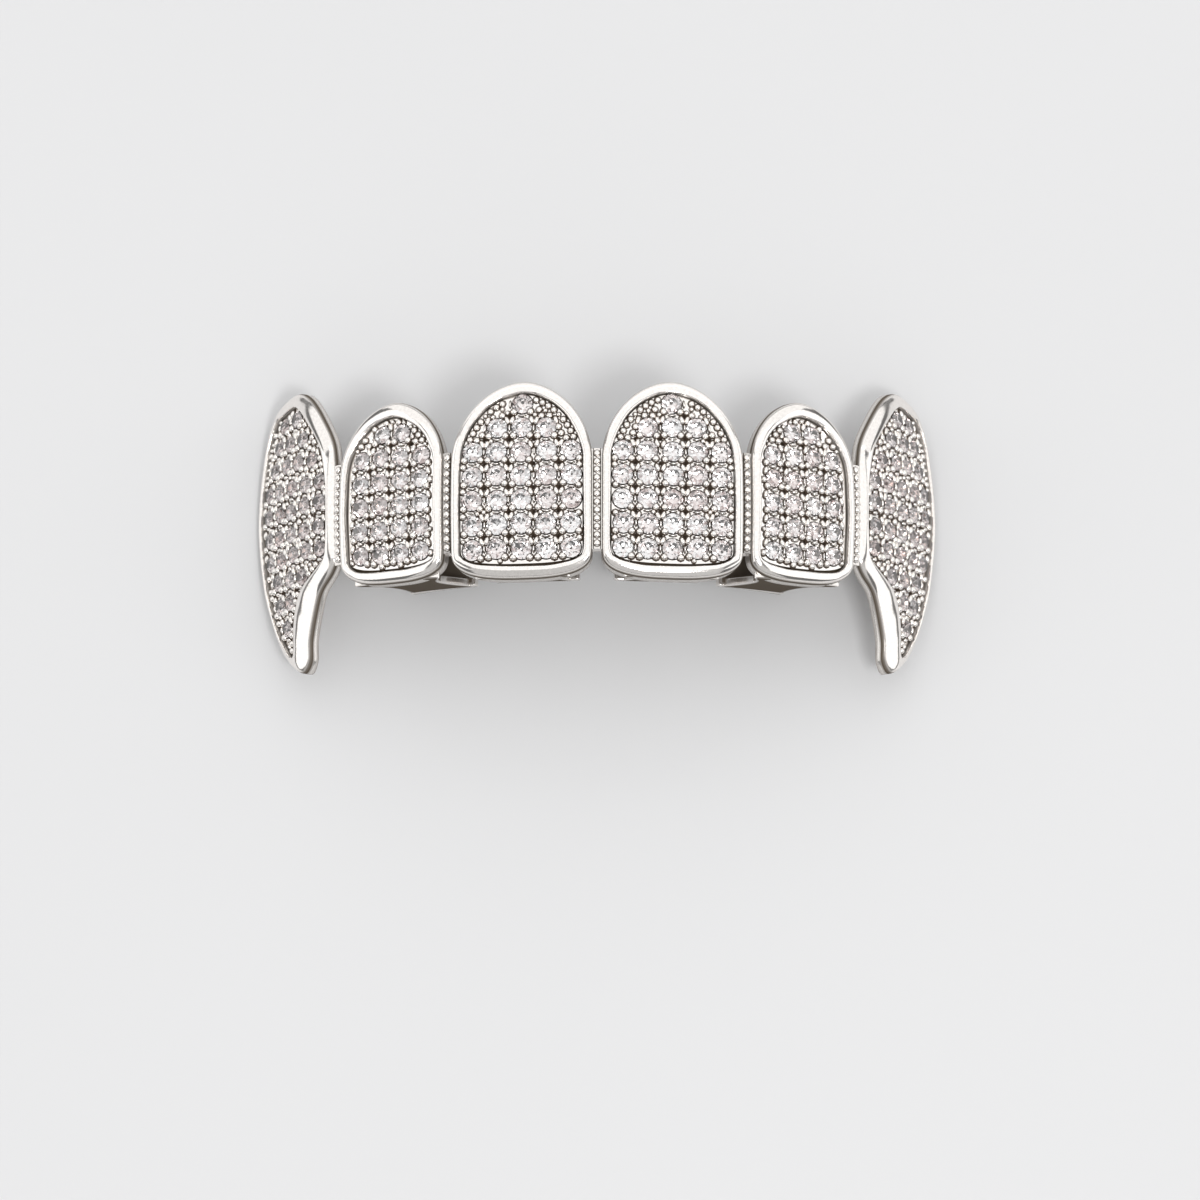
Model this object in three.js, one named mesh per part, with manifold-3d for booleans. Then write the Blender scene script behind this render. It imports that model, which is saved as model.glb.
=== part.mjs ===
// Upper fang grill: a cast white-metal frame of six tooth caps, with a field of small round stones
// in each cap.
//
// Millimetres. The grill lies on its back as it would on a table: +X runs across the mouth, +Y points
// to the gums and the fangs to -Y, and +Z is up, out of the front of the teeth. z = 0 is the surface
// that it rests on.

import * as THREE from 'three';
import { mergeVertices } from 'three/addons/utils/BufferGeometryUtils.js';
import Module from 'manifold-3d';

const wasm = await Module();
wasm.setup();

// Driving dimensions

// Height v is measured from the biting edge of the central caps, up to the gums. yaw is the way a cap
// faces, turned out from straight ahead, and turn is how far its face curves from side to side. depth
// is how far the cap's walls reach back.
const TOOTH_TABLE = [
  { name: 'central', width: 8.6, yaw: 8, turn: 10, bulgeHeight: 5.0, bulgeRadius: 32, depth: 1.25 },
  { name: 'lateral', width: 6.9, yaw: 26, turn: 16, bulgeHeight: 5.0, bulgeRadius: 30, depth: 1.1 },
  { name: 'fang', width: 8.6, yaw: 55, turn: 24, bulgeHeight: 5.5, bulgeRadius: 52, depth: 0.82 },
];

// Clear width between neighbouring caps, and the way that gap faces. The first is the midline.
const GAP_TABLE = [
  { after: 'midline', width: 0.54, yaw: 0 },
  { after: 'central', width: 0.46, yaw: 16 },
  { after: 'lateral', width: 0.6, yaw: 38 },
];

// Outlines of the incisor caps and of the stone fields inside their rims. The top is an arch that
// starts at the shoulder, and the biting edge is a shallow bow with rounded corners of the corner
// height.
const INCISOR_OUTLINES = {
  central: {
    rim: { middle: 0, halfWidth: 4.27, bottom: 0, corner: 1.7, shoulder: 7.3, top: 12.2 },
    field: { middle: 0, halfWidth: 3.75, bottom: 0.85, corner: 0.9, shoulder: 7.1, top: 11.45 },
  },
  lateral: {
    rim: { middle: 0.05, halfWidth: 3.47, bottom: 0.2, corner: 1.6, shoulder: 7.3, top: 11.4 },
    field: { middle: 0.1, halfWidth: 2.95, bottom: 1.0, corner: 0.9, shoulder: 7.0, top: 10.45 },
  },
};
const ARCH_POWER = 1.85;
const BITE_POWER = 2.7;

// Outlines of the fang: how far its edges lie from the middle of the cap at each height.
const FANG_OUTLINES = {
  rim: [
    { v: 13.25, mesial: -0.2, distal: -0.2 },
    { v: 12.6, mesial: -1.3, distal: 1.75 },
    { v: 11.4, mesial: -2.5, distal: 2.8 },
    { v: 9.6, mesial: -3.8, distal: 3.3 },
    { v: 8.0, mesial: -4.22, distal: 3.55 },
    { v: 6.0, mesial: -4.32, distal: 3.75 },
    { v: 4.0, mesial: -4.32, distal: 3.6 },
    { v: 2.2, mesial: -4.28, distal: 3.3 },
    { v: 1.2, mesial: -3.7, distal: 3.1 },
    { v: 0.3, mesial: -2.65, distal: 2.87 },
    { v: -1.0, mesial: -1.95, distal: 2.35 },
    { v: -2.5, mesial: -1.25, distal: 1.68 },
    { v: -3.6, mesial: -1.0, distal: 0.9 },
    { v: -4.4, mesial: -0.2, distal: -0.2 },
  ],
  field: [
    { v: 12.4, mesial: 0.1, distal: 0.1 },
    { v: 11.8, mesial: -0.75, distal: 2.05 },
    { v: 10.4, mesial: -2.1, distal: 2.82 },
    { v: 9.0, mesial: -3.05, distal: 3.14 },
    { v: 7.0, mesial: -3.65, distal: 3.38 },
    { v: 5.0, mesial: -3.72, distal: 3.44 },
    { v: 3.0, mesial: -3.65, distal: 3.16 },
    { v: 2.2, mesial: -3.3, distal: 3.03 },
    { v: 1.4, mesial: -2.2, distal: 2.89 },
    { v: 0.6, mesial: -1.05, distal: 2.7 },
    { v: -0.4, mesial: -0.4, distal: 2.38 },
    { v: -1.6, mesial: 0.05, distal: 1.84 },
    { v: -2.7, mesial: 0.3, distal: 1.05 },
    { v: -3.2, mesial: 0.5, distal: 0.5 },
  ],
};

// Section through a cap, from the edge of its recess over the rim to its hollow back. across is 0 at
// the rim's outer edge and 1 at the edge of the stone field. height is out from the face, and back rows
// lie at the cap's depth.
const RECESS_FLOOR = -0.46;
const HOLLOW_ROOF = -0.8;
const CAP_SECTION = [
  { across: 1, height: RECESS_FLOOR },
  { across: 0.95, height: 0.22 },
  { across: 0.6, height: 0.36 },
  { across: 0.2, height: 0.28 },
  { across: 0, height: 0.02 },
  { across: 0, back: true },
  { across: 0.75, back: true },
  { across: 1.05, height: HOLLOW_ROOF },
];

// Setting plate and round stones. The plate lies in its cap's recess with a small gap all round, and
// the stones stand in level rows, counted from the biting edge.
const PLATE_GAP = 0.1;
const STONE = { seatRadius: 0.51, tableRadius: 0.31, crown: 0.2, facets: 8 };
const STONE_ROWS = {
  central: { firstV: 1.82, pitchV: 1.5, pitchS: 1.47, counts: [5, 5, 5, 5, 5, 3, 1] },
  lateral: { firstV: 1.97, pitchV: 1.48, pitchS: 1.36, counts: [4, 4, 4, 4, 4, 2] },
  fang: { firstV: -1.35, pitchV: 1.42, pitchS: 1.37, counts: [1, 2, 3, 5, 5, 5, 5, 4, 3, 2] },
};

// Beaded bridges that join neighbouring caps.
const BRIDGE = { low: 1.7, high: 7.85, front: -0.1, back: -0.85, overlap: 0.3, stations: 5 };
const BEAD = { radius: 0.19, topRadius: 0.1, crown: 0.2, pitch: 0.555, sides: 10, panelHalf: 0.22 };

// Straps under the biting edges of the incisors, and the lingual plates and band behind the teeth. The
// plates' and the band's front faces lean a little back towards the gums. skew turns a plate's outer
// end back.
const LINGUAL = { front: -6.3, thickness: 0.55, lean: 0.07, high: 8.0 };
const LINGUAL_PLATES = {
  central: { width: 5.2, low: 1.2, skew: 0 },
  lateral: { width: 4.7, low: 1.05, skew: 0.1 },
};
const BAND = { low: 3.6, high: 8.2, thickness: 0.62, stations: 28, fangReach: 1.6 };
const STRAP = { thickness: 0.5, lift: 0.12 };
const STRAP_SECTION = [
  { depth: -0.7, width: 5.8 },
  { depth: -1.8, width: 4.5 },
  { depth: -3.2, width: 3.5 },
  { depth: -5.0, width: 3.6 },
  { depth: -6.82, width: 4.3 },
];

// Points on each half of an outline: the mesial half, near the midline, and the distal half.
const HALF_POINTS = 17;

// Finishes
const FRAME_FINISH = new THREE.MeshStandardMaterial({
  color: 0xdcdde0,
  roughness: 0.1,
  metalness: 1,
});
const STONE_FINISH = new THREE.MeshStandardMaterial({
  color: 0xf1eff2,
  roughness: 0.04,
  metalness: 0.1,
});

// Layout of the caps along the arch

const radians = THREE.MathUtils.degToRad;
const lerp = THREE.MathUtils.lerp;

/** Place each tooth of one side in plan, from the midline outwards. */
function layOutArch() {
  const teeth = {};
  let x = 0;
  let z = 0;
  TOOTH_TABLE.forEach((row, index) => {
    const gap = GAP_TABLE[index];
    const gapLength = index === 0 ? gap.width / 2 : gap.width;
    x += gapLength * Math.cos(radians(gap.yaw));
    z -= gapLength * Math.sin(radians(gap.yaw));
    const yaw = radians(row.yaw);
    const halfTurn = radians(row.turn) / 2;
    const radius = row.width / (2 * halfTurn);
    teeth[row.name] = {
      ...row,
      yaw,
      radius,
      centreX: x + radius * (Math.sin(yaw) - Math.sin(yaw - halfTurn)),
      centreZ: z + radius * (Math.cos(yaw) - Math.cos(yaw - halfTurn)),
    };
    x += radius * (Math.sin(yaw + halfTurn) - Math.sin(yaw - halfTurn));
    z += radius * (Math.cos(yaw + halfTurn) - Math.cos(yaw - halfTurn));
  });
  return teeth;
}

const TEETH = layOutArch();

/** Point on the upright curved sheet at distance n out of a tooth's face. facing is its direction. */
function onSheet(tooth, facing, v, n) {
  return new THREE.Vector3(
    tooth.centreX + tooth.radius * (Math.sin(facing) - Math.sin(tooth.yaw)) + Math.sin(facing) * n,
    v,
    tooth.centreZ + tooth.radius * (Math.cos(facing) - Math.cos(tooth.yaw)) + Math.cos(facing) * n,
  );
}

/** Point at s along a tooth's face from its middle, v up and n out of the bulged face. */
function onTooth(tooth, s, v, n) {
  const bulge = (v - tooth.bulgeHeight) ** 2 / (2 * tooth.bulgeRadius);
  return onSheet(tooth, tooth.yaw + s / tooth.radius, v, n - bulge);
}

/** Point behind a tooth, at a true distance from its middle at that depth. */
function behindTooth(tooth, distance, v, n) {
  return onSheet(tooth, tooth.yaw + distance / (tooth.radius + n), v, n);
}

// Outlines

/** Half of an incisor's outline, from the top of its arch to the middle of its biting edge. */
function incisorHalf(shape, side) {
  const steps = 24;
  const quarter = (power, height, start) =>
    Array.from({ length: steps + 1 }, (_, index) => {
      const angle = (index / steps) * (Math.PI / 2);
      const s = shape.halfWidth * Math.sin(angle) ** (2 / power);
      return new THREE.Vector2(shape.middle + side * s, start + height * Math.cos(angle) ** (2 / power));
    });
  const arch = quarter(ARCH_POWER, shape.top - shape.shoulder, shape.shoulder);
  const bite = quarter(BITE_POWER, -shape.corner, shape.bottom + shape.corner).reverse();
  return new THREE.Path([...arch, ...bite]);
}

/** Half of the fang's outline, from its top to its tip, through the rows of a table. */
function fangHalf(rows, edge) {
  return new THREE.SplineCurve(rows.map((row) => new THREE.Vector2(row[edge], row.v)));
}

/** Points along a curve, closer together where it bends. */
function pointsByBend(curve, count) {
  const fine = curve.getSpacedPoints(200);
  const bends = fine.map((point, index) => {
    if (index === 0 || index === fine.length - 1) return 0;
    const arriving = point.clone().sub(fine[index - 1]).angle();
    const leaving = fine[index + 1].clone().sub(point).angle();
    return Math.abs(Math.atan2(Math.sin(leaving - arriving), Math.cos(leaving - arriving)));
  });
  const totalBend = bends.reduce((sum, bend) => sum + bend, 0);
  let measure = 0;
  const measures = bends.map((bend, index) => {
    if (index > 0) measure += 1 / (fine.length - 1) + bend / totalBend;
    return measure;
  });
  return Array.from({ length: count + 1 }, (_, index) => {
    const wanted = (index / count) * measure;
    const after = Math.max(1, measures.findIndex((value) => value >= wanted - 1e-9));
    const share = (wanted - measures[after - 1]) / (measures[after] - measures[after - 1]);
    return fine[after - 1].clone().lerp(fine[after], share);
  });
}

/** Closed ring of points in a tooth's s and v: down the mesial half and back up the distal half. */
function outlineOf(toothName, which) {
  let halves;
  if (toothName === 'fang') {
    const rows = FANG_OUTLINES[which];
    halves = [fangHalf(rows, 'mesial'), fangHalf(rows, 'distal')];
  } else {
    const shape = INCISOR_OUTLINES[toothName][which];
    halves = [incisorHalf(shape, -1), incisorHalf(shape, 1)];
  }
  const [mesial, distal] = halves.map((half) => pointsByBend(half, HALF_POINTS));
  return [...mesial.slice(0, -1), ...distal.reverse().slice(0, -1)];
}

function middleOf(points) {
  const sum = points.reduce((total, point) => total.add(point), points[0].clone().multiplyScalar(0));
  return sum.divideScalar(points.length);
}

// Solids

function turnsLeft(a, b, c) {
  return (b.x - a.x) * (c.y - a.y) - (b.y - a.y) * (c.x - a.x) > 0;
}

/** Whether d lies inside the circle through a, b and c, which run counter-clockwise. */
function inCircle(a, b, c, d) {
  const [rowA, rowB, rowC] = [a, b, c].map((point) => {
    const x = point.x - d.x;
    const y = point.y - d.y;
    return [x, y, x * x + y * y];
  });
  return new THREE.Matrix3(...rowA, ...rowB, ...rowC).determinant() > 1e-9;
}

/** Turn triangles the same way, and flip the edges they share until none is needlessly long. */
function evenTriangles(triangles, points) {
  const even = triangles.map(([a, b, c]) =>
    turnsLeft(points[a], points[b], points[c]) ? [a, b, c] : [a, c, b],
  );
  const flipOnce = () => {
    const owners = new Map();
    let flips = 0;
    even.forEach((corners, triangle) => {
      corners.forEach((corner, i) => owners.set(`${corner} ${corners[(i + 1) % 3]}`, triangle));
    });
    even.forEach((corners, triangle) => {
      for (let i = 0; i < 3; i += 1) {
        const [a, b, c] = [0, 1, 2].map((step) => even[triangle][(i + step) % 3]);
        const other = owners.get(`${b} ${a}`);
        const neighbour = even[other] ?? [];
        const opposite = neighbour.find((corner) => corner !== a && corner !== b);
        const current = neighbour.includes(a) && neighbour.includes(b);
        if (current && inCircle(points[a], points[b], points[c], points[opposite])) {
          even[triangle] = [c, a, opposite];
          even[other] = [c, opposite, b];
          flips += 1;
          return;
        }
      }
    });
    return flips;
  };
  for (let round = 0; round < 60 && flipOnce() > 0; round += 1);
  return even;
}

/** Closed surface under construction. A ring runs counter-clockwise, seen from its first fan or panel. */
class Skin {
  points = [];

  index = [];

  /** Add a ring of points, and give the numbers of its vertices. */
  ring(points) {
    const first = this.points.length;
    this.points.push(...points);
    return points.map((_, i) => first + i);
  }

  /** Close a ring with triangles to one point. */
  fan(ring, point) {
    const [centre] = this.ring([point]);
    ring.forEach((vertex, i) => this.index.push(centre, vertex, ring[(i + 1) % ring.length]));
  }

  /** Close a flat ring from its own first vertex. */
  lid(ring) {
    for (let i = 1; i < ring.length - 1; i += 1) this.index.push(ring[0], ring[i], ring[i + 1]);
  }

  /** Join two rings of equal count. */
  band(first, second) {
    first.forEach((vertex, i) => {
      const next = (i + 1) % first.length;
      this.index.push(vertex, second[i], first[next], first[next], second[i], second[next]);
    });
  }

  /** Join rings one after another, and give the last. */
  bands(rings) {
    for (let i = 1; i < rings.length; i += 1) this.band(rings[i - 1], rings[i]);
    return rings[rings.length - 1];
  }

  /**
   * Fill a ring with a sheet that carries round studs. outline holds the ring's points in the sheet's
   * own plane, each stud is a centre there, and profile lists a stud's rings from the sheet up. place
   * puts a point of the plane at a height over the sheet. The plane is bowed a little for the
   * triangulation, which drops points on straight lines.
   */
  studdedPanel(ring, outline, studs, profile, sides, place) {
    const turn = (centre, radius) =>
      Array.from({ length: sides }, (_, i) => {
        const angle = ((i + 0.5) / sides) * 2 * Math.PI;
        const spoke = new THREE.Vector2(Math.cos(angle), Math.sin(angle));
        return spoke.multiplyScalar(radius).add(centre);
      });
    const holes = studs.map((centre) => turn(centre, profile[0].radius));
    const feet = studs.map((centre) => {
      const rings = profile.map(({ radius, height }) =>
        this.ring(turn(centre, radius).map((point) => place(point, height))),
      );
      rings.reverse();
      this.lid(rings[0]);
      return this.bands(rings);
    });
    const bowed = ({ x, y }) => new THREE.Vector2(x * (1 - 0.001 * y ** 2), y + 0.003 * x ** 2);
    const contour = outline.map(bowed);
    const openings = holes.map((hole) => hole.map(bowed));
    const triangles = THREE.ShapeUtils.triangulateShape([...contour], openings);
    const vertices = [...ring, ...feet.flat()];
    evenTriangles(triangles, [...contour, ...openings.flat()]).forEach((corners) =>
      this.index.push(...corners.map((corner) => vertices[corner])),
    );
  }

  geometry() {
    const geometry = new THREE.BufferGeometry().setFromPoints(this.points);
    geometry.setIndex(this.index);
    return geometry;
  }
}

/** Closed loft through rings of equal count, with a fan to a point at each end. */
function loft(rings, startPoint = middleOf(rings[0]), endPoint = middleOf(rings[rings.length - 1])) {
  const skin = new Skin();
  const placed = rings.map((ring) => skin.ring(ring));
  skin.fan(placed[0], startPoint);
  const last = skin.bands(placed);
  skin.fan(last.toReversed(), endPoint);
  return skin.geometry();
}

function signedVolume(position, index) {
  const [a, b, c] = [new THREE.Vector3(), new THREE.Vector3(), new THREE.Vector3()];
  let volume = 0;
  for (let i = 0; i < index.length; i += 3) {
    a.fromBufferAttribute(position, index[i]);
    b.fromBufferAttribute(position, index[i + 1]);
    c.fromBufferAttribute(position, index[i + 2]);
    volume += a.dot(b.cross(c)) / 6;
  }
  return volume;
}

/** Closed geometry as a solid with its faces pointing out. */
function solid(geometry) {
  const bare = geometry.clone();
  bare.deleteAttribute('normal');
  bare.deleteAttribute('uv');
  const merged = mergeVertices(bare, 1e-5);
  const triVerts = Uint32Array.from(merged.index.array);
  if (signedVolume(merged.attributes.position, triVerts) < 0) triVerts.reverse();
  const vertProperties = Float32Array.from(merged.attributes.position.array);
  return new wasm.Manifold(new wasm.Mesh({ numProp: 3, vertProperties, triVerts }));
}

function join(solids) {
  return solids.reduce((whole, piece) => whole.add(piece));
}

function geometryOf(manifold) {
  const mesh = manifold.getMesh();
  const geometry = new THREE.BufferGeometry();
  geometry.setAttribute('position', new THREE.BufferAttribute(mesh.vertProperties, 3));
  geometry.setIndex(new THREE.BufferAttribute(mesh.triVerts, 1));
  geometry.computeVertexNormals();
  return geometry;
}

const MIRROR = new THREE.Matrix4().makeScale(-1, 1, 1);

/** The same geometry on the other side of the midline. */
function mirrored(geometry) {
  return geometry.clone().applyMatrix4(MIRROR);
}

// Caps

/** One tooth cap: rim, recess for the stone field, and hollow back. */
function capGeometry(tooth) {
  const rim = outlineOf(tooth.name, 'rim');
  const field = outlineOf(tooth.name, 'field');
  const middle = middleOf(field);
  const rings = CAP_SECTION.map((row) => {
    const height = row.back ? -tooth.depth : row.height;
    return rim.map((point, index) => {
      const place = point.clone().lerp(field[index], row.across);
      return onTooth(tooth, place.x, place.y, height);
    });
  });
  const floor = onTooth(tooth, middle.x, middle.y, RECESS_FLOOR);
  const roof = onTooth(tooth, middle.x, middle.y, HOLLOW_ROOF);
  return loft(rings, floor, roof);
}

// Bridges

/** Ends of a gap between two caps at a height and distance out. */
function gapEnds(gap, v, n) {
  const near = onTooth(gap.near.tooth, gap.near.s, v, n);
  const far = onTooth(gap.far.tooth, gap.far.s, v, n);
  if (gap.overMidline) near.x = -near.x;
  return [near, far];
}

/** Point in a gap, given by its distance from the gap's middle, its height and its distance out. */
function inGap(gap, x, v, n) {
  const [near, far] = gapEnds(gap, v, n);
  const across = far.clone().sub(near).normalize();
  return near.add(far).divideScalar(2).addScaledVector(across, x);
}

/** Bar with a row of cast beads, following the faces of the two caps that it joins. */
function bridgeGeometry(gap) {
  const [near, far] = gapEnds(gap, (BRIDGE.low + BRIDGE.high) / 2, BRIDGE.front);
  const barHalf = near.distanceTo(far) / 2 + BRIDGE.overlap;
  const stations = Array.from({ length: BRIDGE.stations }, (_, index) =>
    lerp(BRIDGE.high, BRIDGE.low, index / (BRIDGE.stations - 1)),
  );
  const outline = (half) => [
    ...stations.map((v) => new THREE.Vector2(-half, v)),
    ...stations.toReversed().map((v) => new THREE.Vector2(half, v)),
  ];
  const placed = (points, n) => points.map((point) => inGap(gap, point.x, point.y, n));
  const beadCount = Math.floor((BRIDGE.high - BRIDGE.low) / BEAD.pitch);
  const firstBead = (BRIDGE.low + BRIDGE.high - (beadCount - 1) * BEAD.pitch) / 2;
  const beads = Array.from({ length: beadCount }, (_, index) =>
    new THREE.Vector2(0, firstBead + index * BEAD.pitch),
  );
  const profile = [
    { radius: BEAD.radius, height: 0 },
    { radius: BEAD.topRadius, height: BEAD.crown },
  ];
  const panel = outline(BEAD.panelHalf);
  const bar = outline(barHalf);
  const skin = new Skin();
  const front = skin.ring(placed(panel, BRIDGE.front));
  const overBar = (point, height) => inGap(gap, point.x, point.y, BRIDGE.front + height);
  skin.studdedPanel(front, panel, beads, profile, BEAD.sides, overBar);
  const back = skin.bands([
    front,
    skin.ring(placed(bar, BRIDGE.front)),
    skin.ring(placed(bar, BRIDGE.back)),
  ]);
  skin.fan(back.toReversed(), inGap(gap, 0, (BRIDGE.low + BRIDGE.high) / 2, BRIDGE.back));
  return skin.geometry();
}

/** The gaps that hold bridges: the midline one, and those of one side. */
function bridgeGaps() {
  const { central, lateral, fang } = TEETH;
  const edgeOf = (tooth, side) => {
    const { middle, halfWidth } = INCISOR_OUTLINES[tooth.name].rim;
    return { tooth, s: middle + side * halfWidth };
  };
  const fangEdge = Math.min(...FANG_OUTLINES.rim.map((row) => row.mesial));
  const innerEdge = edgeOf(central, -1);
  return {
    midline: { near: innerEdge, far: innerEdge, overMidline: true },
    sides: [
      { near: edgeOf(central, 1), far: edgeOf(lateral, -1) },
      { near: edgeOf(lateral, 1), far: { tooth: fang, s: fangEdge } },
    ],
  };
}

// Lingual side

/** Distance out of the lingual plates' front faces at a height. */
function lingualFront(v) {
  return LINGUAL.front - LINGUAL.lean * v;
}

/** Plate that stands behind an incisor, from the strap up to the band. */
function lingualPlate(tooth) {
  const plate = LINGUAL_PLATES[tooth.name];
  const places = [-plate.width / 2, 0, plate.width / 2];
  const rings = [plate.low, LINGUAL.high].map((v) => {
    const face = (behind) => places.map((place) => {
      const skewed = plate.skew * (place + plate.width / 2);
      return behindTooth(tooth, place, v, lingualFront(v) - skewed - behind);
    });
    return [...face(0), ...face(LINGUAL.thickness).reverse()];
  });
  return loft(rings);
}

/** Waisted strap from a cap's biting edge back to its lingual plate. */
function strap(tooth) {
  const startLow = INCISOR_OUTLINES[tooth.name].rim.bottom + STRAP.lift;
  const endLow = LINGUAL_PLATES[tooth.name].low;
  const start = STRAP_SECTION[0].depth;
  const end = STRAP_SECTION[STRAP_SECTION.length - 1].depth;
  const rings = STRAP_SECTION.map((row) => {
    const low = lerp(startLow, endLow, (row.depth - start) / (end - start));
    const places = [-row.width / 2, 0, row.width / 2];
    const face = (v) => places.map((place) => behindTooth(tooth, place, v, row.depth));
    return [...face(low), ...face(low + STRAP.thickness).reverse()];
  });
  return loft(rings);
}

/** Band behind the teeth, from one fang to the other. */
function lingualBand() {
  const middleHeight = (BAND.low + BAND.high) / 2;
  const depth = lingualFront(middleHeight) - LINGUAL.thickness / 2;
  const plateMiddle = (tooth) => {
    const { width, skew } = LINGUAL_PLATES[tooth.name];
    return behindTooth(tooth, 0, 0, depth - (skew * width) / 2);
  };
  const half = [
    plateMiddle(TEETH.central),
    plateMiddle(TEETH.lateral),
    behindTooth(TEETH.fang, 0, 0, depth),
    behindTooth(TEETH.fang, BAND.fangReach, 0, depth),
  ];
  const otherHalf = half.map((point) => point.clone().applyMatrix4(MIRROR)).reverse();
  const route = new THREE.CatmullRomCurve3([...otherHalf, ...half]);
  const rings = Array.from({ length: BAND.stations + 1 }, (_, index) => {
    const place = route.getPointAt(index / BAND.stations);
    const tangent = route.getTangentAt(index / BAND.stations);
    const out = new THREE.Vector3(-tangent.z, 0, tangent.x).normalize();
    const corner = (v, side) => {
      const offset = (side * BAND.thickness) / 2 - LINGUAL.lean * (v - middleHeight);
      return place.clone().addScaledVector(out, offset).setY(v);
    };
    return [corner(BAND.low, 1), corner(BAND.high, 1), corner(BAND.high, -1), corner(BAND.low, -1)];
  });
  return loft(rings);
}

// Stone fields

/** Middle of a field at a height. */
function rowMiddle(field, v) {
  const crossings = field.flatMap((a, index) => {
    const b = field[(index + 1) % field.length];
    if (a.y > v === b.y > v) return [];
    return [lerp(a.x, b.x, (v - a.y) / (b.y - a.y))];
  });
  return (Math.min(...crossings) + Math.max(...crossings)) / 2;
}

/** Places of the stones in a field, row by row. */
function stonePlaces(toothName, field) {
  const rows = STONE_ROWS[toothName];
  return rows.counts.flatMap((count, row) => {
    const v = rows.firstV + row * rows.pitchV;
    const first = rowMiddle(field, v) - ((count - 1) * rows.pitchS) / 2;
    const placeOf = (column) => new THREE.Vector2(first + column * rows.pitchS, v);
    return Array.from({ length: count }, (_, column) => placeOf(column));
  });
}

/** Setting plate of one tooth with its stones, as one body. */
function paveGeometry(tooth) {
  const field = outlineOf(tooth.name, 'field');
  const edge = field.map((point, index) => {
    const before = field[(index + field.length - 1) % field.length];
    const after = field[(index + 1) % field.length];
    const along = after.clone().sub(before).normalize();
    return new THREE.Vector2(point.x - along.y * PLATE_GAP, point.y + along.x * PLATE_GAP);
  });
  const middle = middleOf(field);
  const backHeight = RECESS_FLOOR + PLATE_GAP;
  const place = (point, height) => onTooth(tooth, point.x, point.y, height);
  const profile = [
    { radius: STONE.seatRadius, height: 0 },
    { radius: STONE.tableRadius, height: STONE.crown },
  ];
  const skin = new Skin();
  const front = skin.ring(edge.map((point) => place(point, 0)));
  skin.studdedPanel(front, edge, stonePlaces(tooth.name, field), profile, STONE.facets, place);
  const back = skin.bands([front, skin.ring(edge.map((point) => place(point, backHeight)))]);
  skin.fan(back.toReversed(), place(middle, backHeight));
  return skin.geometry();
}

// Assembly

const gaps = bridgeGaps();
const caps = Object.values(TEETH).map(capGeometry);
const sidePieces = [
  ...caps,
  ...gaps.sides.map(bridgeGeometry),
  ...[TEETH.central, TEETH.lateral].flatMap((tooth) => [lingualPlate(tooth), strap(tooth)]),
];

const bounds = new THREE.Box3();
caps.forEach((cap) => bounds.union(new THREE.Box3().setFromBufferAttribute(cap.attributes.position)));

/** Everything under the resting surface, which trims the band's two ends to flat feet. */
function underTable() {
  const size = 100;
  return solid(new THREE.BoxGeometry(size, size, size).translate(0, 0, bounds.min.z - size / 2));
}

const castFrame = join([
  ...sidePieces.map(solid),
  ...sidePieces.map((piece) => solid(mirrored(piece))),
  solid(bridgeGeometry(gaps.midline)),
  solid(lingualBand()),
]).subtract(underTable());

const grill = new THREE.Group();
grill.position.set(0, -(bounds.min.y + bounds.max.y) / 2, -bounds.min.z);

const frameMesh = new THREE.Mesh(geometryOf(castFrame), FRAME_FINISH);
frameMesh.name = 'cast_frame';
grill.add(frameMesh);

Object.values(TEETH).forEach((tooth) => {
  const right = geometryOf(solid(paveGeometry(tooth)));
  const left = geometryOf(solid(mirrored(right)));
  [['left', left], ['right', right]].forEach(([side, geometry]) => {
    const mesh = new THREE.Mesh(geometry, STONE_FINISH);
    mesh.name = `pave_${tooth.name}_${side}`;
    grill.add(mesh);
  });
});

export default grill;
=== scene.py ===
"""Dress the upper fang grill: polished caps, bead-set stones, beaded bridges and the band behind the teeth.

Flat work is done in millimetres, with s across a tooth, v up to the gums and n out of its face. Each
finished piece is then wrapped onto its tooth in the arch and ends in metres, in the frame of the solids.
"""

from __future__ import annotations

import logging
import math
from dataclasses import dataclass, field
from enum import Enum
from typing import Any, Callable, Iterable, Sequence, Union

import bmesh
import bpy
import numpy as np
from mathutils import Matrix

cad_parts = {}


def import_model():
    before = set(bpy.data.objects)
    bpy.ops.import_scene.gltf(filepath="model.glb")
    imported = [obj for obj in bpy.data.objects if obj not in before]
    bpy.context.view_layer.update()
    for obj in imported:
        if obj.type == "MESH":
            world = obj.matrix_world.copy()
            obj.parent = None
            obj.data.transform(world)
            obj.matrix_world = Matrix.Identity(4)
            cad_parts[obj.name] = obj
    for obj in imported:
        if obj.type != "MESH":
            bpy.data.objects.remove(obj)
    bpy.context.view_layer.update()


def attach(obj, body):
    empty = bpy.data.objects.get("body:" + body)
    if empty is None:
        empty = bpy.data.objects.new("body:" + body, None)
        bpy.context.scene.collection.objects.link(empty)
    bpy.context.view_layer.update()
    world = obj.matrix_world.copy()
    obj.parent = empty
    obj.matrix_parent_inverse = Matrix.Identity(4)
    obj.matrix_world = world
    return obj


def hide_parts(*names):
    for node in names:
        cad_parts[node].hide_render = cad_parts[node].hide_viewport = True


LOG = logging.getLogger("fang_grill")
MM = 0.001
BODY = "root"
Points = np.ndarray
Mapping = Callable[[Points], Points]
# How much painted shade a ring carries, from 0 to 1: dark, dull metal that stands in for shade and dark
# reflections.
PaintedShade = Union[float, Points]
FINE_SPANS = 200
LEVEL = 1e-4


class ToothName(Enum):
    """The three teeth of one side, from the midline out."""

    CENTRAL = "central"
    LATERAL = "lateral"
    FANG = "fang"


class Side(Enum):
    """The two sides of the grill, as seen from the front."""

    RIGHT = 1
    LEFT = -1


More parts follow.
